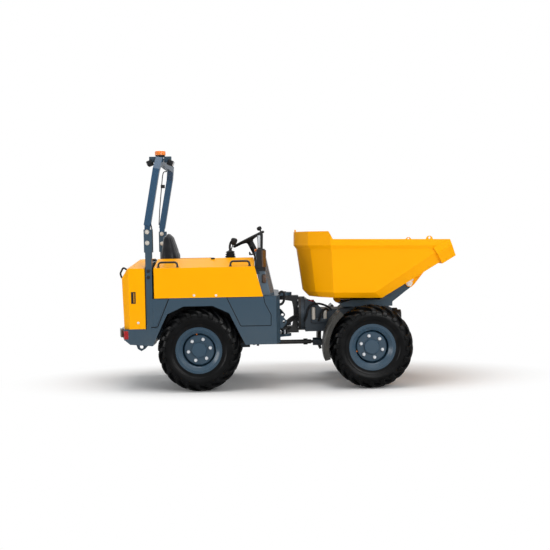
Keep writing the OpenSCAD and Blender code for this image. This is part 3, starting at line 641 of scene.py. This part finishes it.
for wheel in WHEELS:
    axle, node = wheel.split("_")[0], "tyre_" + wheel
    centre = middle(node)
    outwards = np.array([0.0, np.sign(centre[1]), 0.0])
    angle = math.radians(NUT_TURN[axle]) + np.arange(NUTS) * 2 * np.pi / NUTS
    ring = np.stack([np.cos(angle), 0 * angle, np.sin(angle)], 1) * NUT_CIRCLE
    places = centre + ring + outwards * DISC_FACE
    make("wheel_nuts_" + wheel, node, BRIGHT, placed(nut, places, outwards),
         placed(turned(STUD, 16), places, outwards))
    dish_turn = np.stack([[1.0, 0.0, 0.0], np.cross(outwards, [1.0, 0.0, 0.0]), outwards], 1)
    make("rim_dish_" + wheel, node, WHEEL, placed(turned(DISH, 96), centre, turn=dish_turn), smooth=24.0)
    at = math.radians(VALVE_TURN[axle])
    round_to = VALVE_CIRCLE * np.array([math.cos(at), 0.0, math.sin(at)])
    spot = centre + round_to + outwards * VALVE_DEPTH
    make("valve_" + wheel, node, GRIP, placed(turned(STEM, 20), spot, outwards))
    make("valve_cap_" + wheel, node, AMBER, placed(turned(CAP, 16), spot, outwards))

# %% [markdown]
# ## Seat
# A pad is foam under a tight cover: crowned in the middle, pulled in at the sewn lines. The cushion is
# a stack of rounded outlines whose top rows shrink to the middle while they rise. The back is a stack
# of outlines too, one for each height, between a front line and a back line.

# %% Seat
SEAM_DEPTH, SEAM_WIDTH = 0.007, 0.008
CUSHION_SEAM_Y, CUSHION_SEAM_X = 0.135, 0.10
BACK_SEAM_Y, BACK_SEAM_Z = 0.125, 0.40
BACK_TALL = 0.584


def superellipse(count, power):
    """cos and sin of an angle raised to a power below one: a circle on its way to a square."""
    angle = around(count)
    cosine, sine = np.cos(angle), np.sin(angle)
    return np.sign(cosine) * np.abs(cosine) ** power, np.sign(sine) * np.abs(sine) ** power


def sewn(distance):
    """A stitched groove: the seam's depth times a bell curve of the distance from it."""
    return SEAM_DEPTH * np.exp(-((distance / SEAM_WIDTH) ** 2))


lowest, highest = low("seat_cushion"), high("seat_cushion")
across_x, across_y = superellipse(120, 0.28)
half_x, half_y = (highest - lowest)[:2] / 2
bend = np.linspace(0, np.pi / 2, 7)
to_middle = np.linspace(0.88, 0.02, 24)
scale = np.concatenate([[0.90, 0.97, 0.99], 1 - 0.10 * (1 - np.cos(bend)), to_middle])[:, None]
level = np.concatenate([[0.0, 0.006, 0.030], 0.045 + 0.043 * np.sin(bend), 0 * to_middle + 0.088])[:, None]
pull = 1 - 0.025 * (1 - np.minimum(across_x ** 2, across_y ** 2))
x = half_x * scale * across_x * pull
y = half_y * scale * across_y * pull
crown = 0.018 * (1 - (x / half_x) ** 2) * (1 - (y / half_y) ** 2) * (level >= 0.08)
groove = sewn(np.abs(y) - CUSHION_SEAM_Y) + sewn(x - CUSHION_SEAM_X) * (np.abs(y) < CUSHION_SEAM_Y)
z = level + crown - groove * (level >= 0.07)
centre = middle("seat_cushion")
rows = np.stack([centre[0] + x, centre[1] + y, lowest[2] + z], -1)
cushion = make("seat_pad", "seat_cushion", VINYL, stack(rows), instead=True, smooth=60.0)

heights = np.array([0.0, 0.11, 0.238, 0.376, 0.548, BACK_TALL])
front_line = np.array([-0.260, -0.260, -0.225, -0.219, -0.276, -0.300]) + rear_axle[0]
back_line = np.array([-0.362, -0.370, -0.380, -0.384, -0.358, -0.330]) + rear_axle[0]
widths = np.array([0.225, 0.235, 0.235, 0.225, 0.165, 0.120])
level = BACK_TALL / 2 - BACK_TALL / 2 * np.cos(np.linspace(0, np.pi, 44)[:, None])
wide = np.interp(level, heights, widths)
front_x = np.interp(level, heights, front_line)
back_x = np.interp(level, heights, back_line)
close = np.clip(np.minimum(level, BACK_TALL - level) / 0.03, 0, 1) ** 0.4
round_x, round_y = superellipse(96, 0.55)
y = wide * round_y * (0.55 + 0.45 * close)
groove = sewn(np.abs(y) - BACK_SEAM_Y) + sewn(level - BACK_SEAM_Z)
x = (front_x + back_x) / 2 + (front_x - back_x) / 2 * round_x * close
x = x - np.clip(round_x, 0, 1) * groove
rows = np.stack([x, y, low("seat_back")[2] + level + 0 * x], -1)
back = make("seat_back_pad", "seat_back", VINYL, stack(rows), instead=True, smooth=60.0)

# %% [markdown]
# ## Controls
# The steering wheel is a ring of tube on three spokes with a spinner knob. Its axis leans back, so it
# is built flat about Z and turned with three unit columns. The operating lever stands in a rubber
# bellows of three folds and ends in a grip with a button.

# %% Steering wheel
RING_RADIUS, RING_TUBE = 0.157, 0.013
SPOKE = 0.150
HUB = [[0, -0.035], [0.032, -0.035], [0.040, -0.022], [0.038, -0.004], [0.026, 0.004], [0, 0.006]]
KNOB = [[0, 0], [0.008, 0], [0.008, 0.018], [0.022, 0.024], [0.025, 0.042], [0.019, 0.055], [0, 0.058]]
column = unit(wheel_axis)
wheel_turn = np.stack([[column[2], 0.0, -column[0]], [0.0, 1.0, 0.0], column], 1)
circle = np.linspace(0, 2 * np.pi, 17)
ring_profile = np.stack([RING_RADIUS + RING_TUBE * np.cos(circle), RING_TUBE * np.sin(circle)], 1)
wheel_shapes = [turned(ring_profile, 72)]
for a in np.radians([90, 210, 330]):
    tip = [SPOKE * math.cos(a), SPOKE * math.sin(a), 0.020]
    path = np.outer(np.linspace(0, 1, 8), tip) - [0, 0, 0.018]
    wheel_shapes.append(tube(path, np.linspace(0.013, 0.008, 8), 12, aside_of=(0, 0, 1)))
wheel_shapes += [turned(HUB, 40), placed(turned(KNOB, 32), [0.140, 0.060, 0.010])]
make("steering_ring", "steering_wheel", GRIP, *moved(wheel_shapes, wheel_hub, wheel_turn), instead=True)

# %% Operating lever
GRIP_SHAPE = [[0, 0], [0.014, 0], [0.023, 0.012], [0.031, 0.034], [0.031, 0.054], [0.021, 0.066],
              [0, 0.069]]
BUTTON = [[0, 0], [0.007, 0], [0.007, 0.004], [0.004, 0.006], [0, 0.006]]
foot = low("joystick") + [0.048, 0.048, 0.0]
folds = [[0, 0], [0.054, 0.0], [0.054, 0.008], [0.043, 0.011]]
for fold, wide_at in enumerate((0.050, 0.047, 0.043)):
    start = 0.012 + fold * 0.020
    folds += [[wide_at - 0.010, start], [wide_at, start + 0.006], [wide_at, start + 0.011],
              [wide_at - 0.011, start + 0.018]]
folds += [[0.018, 0.076], [0.012, 0.082], [0, 0.082]]
knots = [[0, 0, 0.07], [-0.004, 0, 0.105], [0.002, 0, 0.142], [0.018, 0, 0.168], [0.036, 0, 0.176]]
lever_path = smooth_path(knots, 30)
guard = smooth_path([[0.008, 0, 0.078], [0.018, 0, 0.110], [0.032, 0, 0.140]], 16)
make("lever_bellows", "joystick", GRIP, placed(turned(folds, 40), foot),
     *moved([tube(lever_path, 0.0110), tube(guard, 0.0050, 10)], foot),
     placed(turned(GRIP_SHAPE, 32), foot + [0.030, 0, 0.128], (0.20, 0, 0.98)), instead=True)
make("lever_button", "joystick", AMBER,
     placed(turned(BUTTON, 20), foot + [0.060, -0.004, 0.182], (1, -0.3, 0.3)))

# %% [markdown]
# ## Dashboard
# A pod with a display, a row of rocker switches, a stop button, an indicator stalk and a side lever.
# They sit on the CAD dashboard and ride with it.

# %% Dashboard
STOP = [[0, 0], [0.011, 0], [0.011, 0.012], [0.019, 0.015], [0.019, 0.026], [0.014, 0.032], [0, 0.033]]
LEVER_KNOB = [[0, 0], [0.008, 0], [0.010, 0.012], [0.006, 0.030], [0, 0.033]]
POD_SIDE = -0.360
POD_LEAN = 0.055
panel_x = pivot[0] - 0.238
screen = block([-0.004, -0.047, -0.070], [0.004, 0.047, 0.070], 0.003)
screen_turn = facing((POD_LEAN, 0, 1.0)) @ facing((0, 0, 1)).T
make("display", "dash", CLEAR, placed(screen, [panel_x, -0.305, 1.372], turn=screen_turn))
switch = block([-0.012, -0.010, -0.004], [0.012, 0.010, 0.008], 0.003)
places = [[panel_x, y, 1.277] for y in (-0.16, -0.13, -0.10, 0.12, 0.15, 0.18)]
make("switches", "dash", PLASTIC, placed(switch, places))
make("stop_button", "dash", AMBER,
     placed(turned(STOP, 32), [pivot[0] - 0.252, -0.215, 1.272], (-0.3, 0, 1)))
stalk = smooth_path([
    wheel_hub - 0.075 * column, wheel_hub - 0.080 * column + [-0.01, -0.06, 0.0],
    wheel_hub - 0.070 * column + [-0.015, -0.13, 0.0]], 16)
make("stalk", "dash", PLASTIC, tube(stalk, np.linspace(0.006, 0.009, 16), 12, aside_of=(0, 0, 1)))
make("display_edge", "dash", CLEAR,
     block([-0.270, POD_SIDE - 0.003, 1.315], [-0.244, POD_SIDE + 0.004, 1.430], 0.0015))
lever = smooth_path([[-0.262, -0.215, 1.262], [-0.300, -0.217, 1.258], [-0.340, -0.219, 1.250]], 16)
make("side_lever", "dash", PLASTIC, tube(lever, 0.007, 12),
     placed(turned(LEVER_KNOB, 20), [-0.344, -0.219, 1.246], (-0.2, 0, 1)))
print("dashboard dressed")

# %% [markdown]
# ## Lamps
# The headlamps stand on both sides of the shield, their brown-tinted lens wrapped round the cut corner.
# Two work lamps and an amber beacon sit on the hoop. Red and brown lamps are let into the bumper.

# %% Lamps
WRAP = np.array([[-0.036, -0.0015], [-0.0235, -0.0015], [0.0015, 0.0295], [0.0015, 0.044],
                 [-0.010, 0.044], [-0.036, 0.010]])
SKIRT = np.array([[-0.062, 0.002], [-0.0245, 0.002], [-0.003, 0.029], [-0.003, 0.048], [-0.062, 0.048]])
REAR_LENS = np.array([[-1.5240, 0.5270], [-1.5530, 0.4120], [-1.5690, 0.4160], [-1.5400, 0.5310]])
GUSSET = [[-0.3028, 1.070], [-0.3028, 1.148], [-0.2990, 1.152], [-0.2990, 1.205],
          [-0.2620, 1.215], [-0.2500, 1.070]]
ON_EDGE = np.array([[1.0, 0.0, 0.0], [0.0, 0.0, 1.0], [0.0, 1.0, 0.0]])
SIDES = (-1, 1)


def prism(outline, bottom, top):
    """A flat outline of (x, y) points pulled up from bottom to top."""
    outline = np.array(outline, float)
    rows = [np.column_stack([outline, np.full(len(outline), level)]) for level in (bottom, top)]
    return stack(np.stack(rows))


rounded("front_lights", 0.006)
lamp_front, lamp_side = high("front_lights")[:2]
skirts, lenses, signals = [], [], []
for side in SIDES:
    corner = np.array([lamp_front, side * lamp_side])
    skirts.append(prism(corner + SKIRT * [1, -side], 1.102, 1.136))
    lenses.append(prism(corner + WRAP * [1, -side], 1.139, 1.290))
    near, far = sorted([side * (lamp_side - 0.040), side * (lamp_side - 0.0235)])
    signals.append(block([pivot[0] - 0.2015, near, 0.993], [pivot[0] - 0.1665, far, 1.069], 0.005))
make("lamp_skirts", "front_lights", PLASTIC, *skirts, slot="lamp_body")
make("headlamp_lenses", "front_lights", SMOKE, *lenses, slot="clear_lens")
make("front_signals", "front_lights", SMOKE, *signals, slot="amber_lens")
lenses = [prism(REAR_LENS * [1, side], 0.512, 0.588) for side in SIDES]
make("rear_signals", "tail_lamps", SMOKE, *lenses, slot="amber_lens")
gusset = placed(prism(GUSSET, -0.5475, -0.5415), [0, 0, 0], turn=ON_EDGE)
make("shield_gusset", "shield", SLATE, gusset)

# %% Work lamps and beacon
LAMP_TILT = math.radians(24.0)
LAMP_OUT, LAMP_DROP = 0.097, -0.052
DOME = np.array([[0.047, 0.012], [0.049, 0.014], [0.049, 0.044], [0.046, 0.050], [0.036, 0.0525],
                 [0.004, 0.053]])
FLUTES = 24
lamp_home = middle("work_lamps") * [1, 1, 0] + [0, 0, high("work_lamps")[2] - 0.008]
bracket = [block([-0.103, -0.018, 0.0002], [0.103, 0.018, 0.008], 0.0015)]
housings, glasses = [], []
for way in SIDES:
    start, end = sorted([way * 0.037, way * 0.103])
    bracket.append(block([start, -0.018, -0.046], [end, 0.018, 0.006], 0.003))
    cosine, sine = math.cos(LAMP_TILT), way * math.sin(LAMP_TILT)
    turn = np.array([[cosine, 0, sine], [0, 1, 0], [-sine, 0, cosine]])
    spot = [way * LAMP_OUT, 0, LAMP_DROP]
    parts = [block([-0.026, -0.050, -0.024], [0.026, 0.050, 0.024], 0.007)]
    start, end = sorted([-way * 0.0275, -way * 0.010])
    for rib in np.linspace(-0.042, 0.042, 9):
        parts.append(block([start, rib - 0.0015, -0.0255], [end, rib + 0.0015, 0.0255], 0.0008))
    housings += moved(parts, spot, turn)
    start, end = sorted([way * 0.022, way * 0.0275])
    glasses += moved([block([start, -0.044, -0.019], [end, 0.044, 0.019], 0.0025)], spot, turn)
make("lamp_bracket", "work_lamps", SLATE, *moved(bracket, lamp_home))
make("work_lamp_housings", "work_lamps", PLASTIC, *moved(housings, lamp_home),
     slot="lamp_body", instead=True)
make("work_lamp_glasses", "work_lamps", CLEAR, *moved(glasses, lamp_home))

beacon_foot = middle("beacon") * [1, 1, 0] + [0, 0, low("beacon")[2]]
angle = around(96)
flute = 1 + 0.02 * np.cos(FLUTES * angle)
rows = np.stack([DOME[:, :1] * flute * np.cos(angle), DOME[:, :1] * flute * np.sin(angle),
                 DOME[:, 1:] + 0 * angle], -1)
make("beacon_dome", "beacon", AMBER, placed(stack(rows), beacon_foot), instead=True)
foot_ring = turned([[0, 0], [0.044, 0], [0.044, 0.013], [0, 0.013]], 48)
make("beacon_foot", "beacon", PLASTIC, placed(foot_ring, beacon_foot))

# %% [markdown]
# ## Handles and fasteners
# Grab handles are bent round bar: a path with rounded corners carried by a circle. Screws, rivets and
# bolts are turned heads set at the places read from the photograph.

# %% Handles
BAR = 0.009
BAR_LONG = 0.185
PAD = [[0, -0.002], [0.014, -0.002], [0.014, 0.004], [0.010, 0.007], [0, 0.007]]
BOW = np.array([[-0.667, 1.117], [-0.722, 1.1516], [-0.752, 1.096], [-0.738, 1.052], [-0.704, 1.052]])
BOW_Y = 0.300


def bent(knots, radius, steps=7):
    """A path whose corners are arcs: at each corner two points a radius away blend by a parabola."""
    knots = np.array(knots, float)
    path = [knots[0]]
    for before, corner, after in zip(knots, knots[1:], knots[2:]):
        start = corner + unit(before - corner) * radius
        end = corner + unit(after - corner) * radius
        t = np.linspace(0, 1, steps)[:, None]
        path += list((1 - t) ** 2 * start + 2 * t * (1 - t) * corner + t ** 2 * end)
    return np.array(path + [knots[-1]])


pad = turned(PAD, 20)
bar_low, bar_high = low("hood_handles"), high("hood_handles")
bar_y = (bar_low[1] + bar_high[1]) / 2
foot_z, top_z = bar_low[2] - 0.002, bar_high[2] - BAR
bars = []
for start, end in ((bar_low[0] + BAR, bar_low[0] + BAR_LONG), (bar_high[0] - BAR_LONG, bar_high[0] - BAR)):
    feet = [[start, bar_y, foot_z], [end, bar_y, foot_z]]
    knots = [feet[0], [start + 0.004, bar_y, top_z], [end - 0.004, bar_y, top_z], feet[1]]
    bars += [tube(bent(knots, 0.026), BAR, 14), placed(pad, feet)]
make("hood_bars", "hood_handles", BLACK, *bars, slot=slot_of["hood_handles"], instead=True)

bows = []
for y in (-BOW_Y, BOW_Y):
    knots = np.column_stack([rear_axle[0] + BOW[:, 0], np.full(len(BOW), y), BOW[:, 1]])
    bows += [tube(bent(knots, 0.016), BAR, 14), placed(pad, knots[0], (-0.847, 0, 0.532)),
             placed(pad, knots[-1], (-1, 0, 0.03))]
make("tail_bows", "tail_handle", BLACK, *bows, slot=slot_of["tail_handle"], instead=True)

# %% Fasteners
FLANK = -half_width
OUT = (0, -1, 0)
SCREW = [[0, 0], [0.011, 0], [0.010, 0.003], [0.006, 0.005], [0.0035, 0.005], [0.0035, 0.002], [0, 0.002]]
RIVET = [[0, 0], [0.0055, 0], [0.004, 0.0025], [0, 0.0035]]
GAP_SHADE_RADIUS = 0.0042
FORK_THICK = 0.072
screw = turned(SCREW, 20)
make("hood_screws", "engine_hood", BRIGHT,
     placed(screw, [[-0.857, FLANK, 0.890], [-0.656, FLANK, 0.887]], OUT))
tail_screws = [placed(screw, [-1.371, side * half_width, 0.649], (0, side, 0)) for side in SIDES]
make("tail_screws", "tail_hood", BRIGHT, *tail_screws)
fork_bolts, post_bolts = [], []
for side in SIDES:
    for z in (hoop_pin[2], hoop_pin[2] + 0.100):
        for y, way in ((side * half_width, side), (side * (half_width - FORK_THICK), -side)):
            fork_bolts.append(placed(bolt(0.0165, 0.013), [hoop_pin[0], y, z], (0, way, 0)))
    places = [[hoop_pin[0] + 0.004, side * half_width, z] for z in (1.062, 1.120)]
    post_bolts.append(placed(bolt(0.0135, 0.009), places, (0, side, 0)))
make("fork_bolts", "rops_base", SILVER, *fork_bolts)
make("post_bolts", "rops_base", BLACK, *post_bolts)
places = [[-1.236, FLANK + 0.001, z] for z in (0.640, 0.690, 0.740, 0.790, 0.838)]
make("rivets", "rops_base", SLATE, placed(turned(RIVET, 14), places, OUT))
make("tail_latch", "tail_hood", PLASTIC,
     block([-1.431, FLANK - 0.003, 0.824], [-1.390, FLANK + 0.004, 0.932], 0.0025))
make("tail_latch_tab", "tail_hood", YELLOW,
     block([-1.407, FLANK - 0.006, 0.834], [-1.402, FLANK, 0.922], 0.0015))
# Thin dark rubber-finished tubes run along the side-panel seam and the access door's outline. They are painted
# shade in the gaps that the solids already have.
seam = [[-1.089, 0.863], [-1.195, 0.607], [-1.255, 0.604]]
door = [[-0.560, 0.8665], [-0.4355, 0.6015], [-0.1575, 0.6015], [-0.1555, 0.700], [-0.2125, 0.812],
        [-0.2205, 0.8665]]
gap_shade = [tube(bent([[x, FLANK + 0.001, z] for x, z in seam], 0.010), GAP_SHADE_RADIUS, 8),
         tube(bent([[x, FLANK + 0.003, z] for x, z in door], 0.012), GAP_SHADE_RADIUS, 8)]
make("panel_seals", "rops_base", RUBBER, *gap_shade, slot="rubber_grip")
print("fasteners set")

# %% [markdown]
# ## Cables and hoses
# A cable leaps the hoop's folding hinge in a shallow loop between the fixed post and the hoop. The
# hydraulic hoses cross the articulation in the same way, between the rear frame and the yoke. Plain
# cables run down the far post and down from the beacon.

# %% Cables and hoses
CABLE = 0.0055
loop = smooth_path([
    [-1.262, -0.5695, 1.585], [-1.244, -0.5695, 1.562], [-1.2295, -0.572, 1.486],
    [-1.2288, -0.574, 1.404], [-1.2310, -0.573, 1.330], [-1.244, -0.570, 1.276]], 48)
cable = make("hoop_cable", None, GRIP, tube(loop, CABLE, 10))
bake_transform(cable)
far_line = smooth_path([
    [-1.237, 0.571, 1.46], [-1.226, 0.571, 1.40], [-1.229, 0.571, 1.32], [-1.230, 0.571, 1.24]], 30)
make("post_cable", "rops_base", GRIP, tube(far_line, CABLE, 10))
lamp_line = smooth_path([
    [-1.208, 0.535, 2.122], [-1.246, 0.540, 2.102], [-1.266, 0.545, 1.960],
    [-1.288, 0.548, 1.750], [-1.302, 0.550, 1.570]], 36)
clip = block([-1.274, 0.535, 1.950], [-1.232, 0.555, 1.985], 0.004)
make("beacon_cable", "rops_hoop", GRIP, tube(lamp_line, 0.0050, 10), clip)

hoses = []
for offset, rise in ((0.0, 0.0), (0.030, 0.022), (-0.028, 0.03)):
    knots = [[pivot[0] - 0.052, -0.215 + offset, 0.556 + rise],
             [pivot[0] + 0.010, -0.225 + offset, 0.572 + rise],
             [pivot[0] + 0.065, -0.215 + offset, 0.610 + rise],
             [pivot[0] + 0.142, -0.135 + 0.3 * offset, 0.650 + 0.6 * rise]]
    hoses.append(tube(smooth_path(knots, 36), 0.0125, 12))
hose = make("steer_hoses", None, GRIP, *hoses)
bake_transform(hose)
print("hoses laid")

# %% [markdown]
# ## Small things on the skip, the front frame and the hood
# White plates mark the two tipping pivots and a small ear stands on the skip's rim. Two silver pressure
# vessels stand on a dark valve block on each side of the front frame, and short hoses run from them to
# the frame. A rubber stop sits on the hood.

# %% Skip details
disc = turned([[0, 0], [0.030, 0], [0.030, 0.004], [0.027, 0.006], [0, 0.006]], 32)
dot = turned([[0, 0], [0.012, 0], [0.012, 0.004], [0, 0.005]], 20)
pivots = []
for side in SIDES:
    at_pin = tip_pin * [1, 0, 1] + [0, side * 0.276, 0]
    pivots += [placed(disc, at_pin, (0, side, 0)), placed(dot, at_pin + [0.027, 0, 0.032], (0, side, 0))]
make("pivot_plates", "skip", WHITE, *pivots)
make("skip_ear", "skip", YELLOW, block([0.083, -0.160, 1.436], [0.098, -0.140, 1.480], 0.003))

# %% Front frame details
VESSEL = 0.0178
VESSEL_Y = 0.183
BLOCK_INNER, BLOCK_OUTER = 0.1651, 0.196
HOSE = 0.010
BUCKET = [[0, 0], [0.030, 0], [0.044, 0.012], [0.0535, 0.045], [0.0535, 0.086], [0.049, 0.089],
          [0.049, 0.078], [0, 0.078]]
PANE = [[0, 0.078], [0.0485, 0.078], [0.046, 0.084], [0.030, 0.088], [0, 0.0895]]
FLANGE_BOLTS, FLANGE_CIRCLE, ROLL_HEIGHT = 12, 0.148, 0.665
END_CAP = [[0, 0], [0.009, 0], [0.010, 0.006], [0.010, 0.050], [0.007, 0.056], [0, 0.057]]
axle_x = front_axle[0]
vessels, valve_blocks = [], []
for side in SIDES:
    for x, foot_z, top_z in ((axle_x - 0.515, 0.616, 0.734), (axle_x - 0.405, 0.622, 0.710)):
        tall = top_z - foot_z
        profile = [[0, 0], [VESSEL, 0], [VESSEL, tall - 0.010], [0.014, tall - 0.002], [0.006, tall],
                   [0, tall]]
        vessels.append(placed(turned(profile, 40), [x, side * VESSEL_Y, foot_z]))
    near, far = sorted([side * BLOCK_INNER, side * BLOCK_OUTER])
    valve_blocks.append(block([axle_x - 0.533, near, 0.585], [axle_x - 0.394, far, 0.624], 0.004))
make("pressure_vessels", "accumulators", SILVER, *vessels, instead=True)
make("valve_blocks", "accumulators", AXLE, *valve_blocks)
lines = [[[0.165, -0.180, 0.600], [0.185, -0.200, 0.660], [0.205, -0.200, 0.720], [0.240, -0.198, 0.760],
          [0.300, -0.196, 0.768], [0.360, -0.190, 0.752], [0.412, -0.172, 0.722], [0.425, -0.158, 0.700]],
         [[0.300, -0.205, 0.600], [0.315, -0.212, 0.640], [0.335, -0.212, 0.690], [0.372, -0.198, 0.716],
          [0.402, -0.158, 0.695]]]
make("frame_hoses", "accumulators", GRIP, *[tube(smooth_path(knots, 40), HOSE, 12) for knots in lines])

nose_y = high("nose_lamps")[1] - 0.052
spots = [[low("nose_lamps")[0], side * nose_y, middle("nose_lamps")[2]] for side in SIDES]
make("nose_lamp_buckets", "nose_lamps", PLASTIC, placed(turned(BUCKET, 40), spots, (1, 0, 0)),
     slot="lamp_body", instead=True)
make("nose_lamp_panes", "nose_lamps", CLEAR, placed(turned(PANE, 40), spots, (1, 0, 0)))
ring = around(FLANGE_BOLTS)
flange = np.stack([np.full(FLANGE_BOLTS, pivot[0] + 0.139), FLANGE_CIRCLE * np.cos(ring),
                   ROLL_HEIGHT + FLANGE_CIRCLE * np.sin(ring)], 1)
make("flange_bolts", "yoke", ZINC, placed(bolt(0.010, 0.008), flange, (-1, 0, 0)))
stub = turned([[0, 0], [0.0145, 0], [0.0145, 0.038], [0, 0.038]], 24)
make("shaft_stub", "prop_tube", BLACK, placed(stub, [pivot[0] + 0.260, 0, rear_axle[2]], (1, 0, 0)))
knots = np.array([
    [-0.078, -0.450, 0.878], [-0.066, -0.450, 0.897], [-0.046, -0.450, 0.899], [-0.030, -0.450, 0.876],
    [-0.032, -0.445, 0.825], [-0.050, -0.442, 0.790], [-0.080, -0.440, 0.778]])
deck_lines = [tube(smooth_path(knots + [0, shift, 0], 36), HOSE, 12) for shift in (0.0, 0.028, 0.060)]
make("deck_hoses", "rear_frame", GRIP, *deck_lines)
make("hose_end", "front_frame", RED,
     placed(turned(END_CAP, 20), [0.205, -0.150, 0.792], (1, 0, 0.06)))

# %% Hood stop
stop_shape = turned([[0, 0], [0.020, 0], [0.020, 0.006], [0.015, 0.012], [0, 0.013]], 24)
make("hood_stop", "engine_hood", GRIP, placed(stop_shape, [-0.696, -0.300, 1.216]))

# %% [markdown]
# ## Studio
# A pale floor, a large soft lamp overhead, one beside the camera, one from the left and a weak one
# behind. The world is white to the camera, half as bright in reflections and dimmer still as a light,
# so that paint keeps its colour. Away from the machine the floor turns into the same white, so no
# horizon shows.

# %% Studio
SKY_LIGHT = 0.36
MIRRORED = 0.55
WHITE_LIGHT = (1.0, 1.0, 1.0, 1.0)
# The floor is darker where it is seen in reflections. This is painted shade that stands for its shadow under the
# machine.
FLOOR_TONE, FLOOR_MIRRORED = (0.93, 0.93, 0.93, 1.0), (0.40, 0.40, 0.40, 1.0)
FADE_STRETCH, FADE_SHIFT = (0.5, 1.0, 0.0), (0.0, -0.25, 0.0)
FADE_START, FADE_END = 0.80, 1.45
FLOOR_REACH = 30.0
sky = Finish("studio", bpy.data.worlds)
scene.world = sky.owner
RAYS = ("Is Camera Ray", "Is Transmission Ray", "Is Glossy Ray")
seen, through, glossy = (sky.node("LightPath", out=ray) for ray in RAYS)
strength = seen.most(through).most((glossy * MIRRORED).most(SKY_LIGHT))
glow = sky.node("Background", None, {"Color": WHITE_LIGHT, "Strength": strength})
sky.node("OutputWorld", None, {"Surface": glow})

pale = Finish("pale_floor")
sockets = {0: pale.place, 1: FADE_STRETCH, 2: FADE_SHIFT}
flat = pale.node("VectorMath", {"operation": "MULTIPLY_ADD"}, sockets)
distance = pale.node("VectorMath", {"operation": "LENGTH"}, {0: flat}, out="Value")
seen = pale.node("LightPath", out="Is Camera Ray")
glossy = pale.node("LightPath", out="Is Glossy Ray")
matt = pale.node("BsdfDiffuse", None, {"Color": pale.blend(glossy, FLOOR_TONE, FLOOR_MIRRORED)})
bright = pale.node("Emission", None, {"Color": WHITE_LIGHT, "Strength": 1.0})
fade = distance.ramp(FADE_START, FADE_END) * seen
pale.node("OutputMaterial", None, {"Surface": pale.node("MixShader", None, {0: fade, 1: matt, 2: bright})})
reach = np.linspace(-FLOOR_REACH, FLOOR_REACH, 3)
x, y = np.meshgrid(reach, reach, indexing="ij")
floor_points, floor_faces = surface(np.stack([x, y, 0 * x], -1))
floor_mesh = bpy.data.meshes.new("floor")
floor_mesh.from_pydata(floor_points.tolist(), [], floor_faces[0].tolist())
floor_mesh.materials.append(pale.owner)
floor = bpy.data.objects.new("floor", floor_mesh)
scene.collection.objects.link(floor)


def softbox(name, place, aim, size, power):
    """A square lamp of that size, looking from place to aim."""
    data = bpy.data.lights.new(name, "AREA")
    data.size = size
    data.energy = power
    lamp = bpy.data.objects.new(name, data)
    turn = np.eye(4)
    turn[:3, :3] = facing(np.array(place, float) - np.array(aim, float))
    turn[:3, 3] = place
    lamp.matrix_world = turn.T.tolist()
    scene.collection.objects.link(lamp)


softbox("top_light", (0.4, -0.6, 6.0), (0.0, 0.0, 0.5), 5.0, 190.0)
softbox("side_light", (3.4, -7.0, 3.4), (0.0, 0.0, 0.8), 4.0, 262.0)
softbox("left_light", (-6.5, -3.6, 1.7), (-0.2, 0.0, 1.0), 3.0, 120.0)
softbox("back_light", (-3.0, 6.0, 4.0), (0.0, 0.0, 0.8), 4.0, 90.0)
scene.view_settings.view_transform = "Standard"
print("lamps:", len(bpy.data.lights))
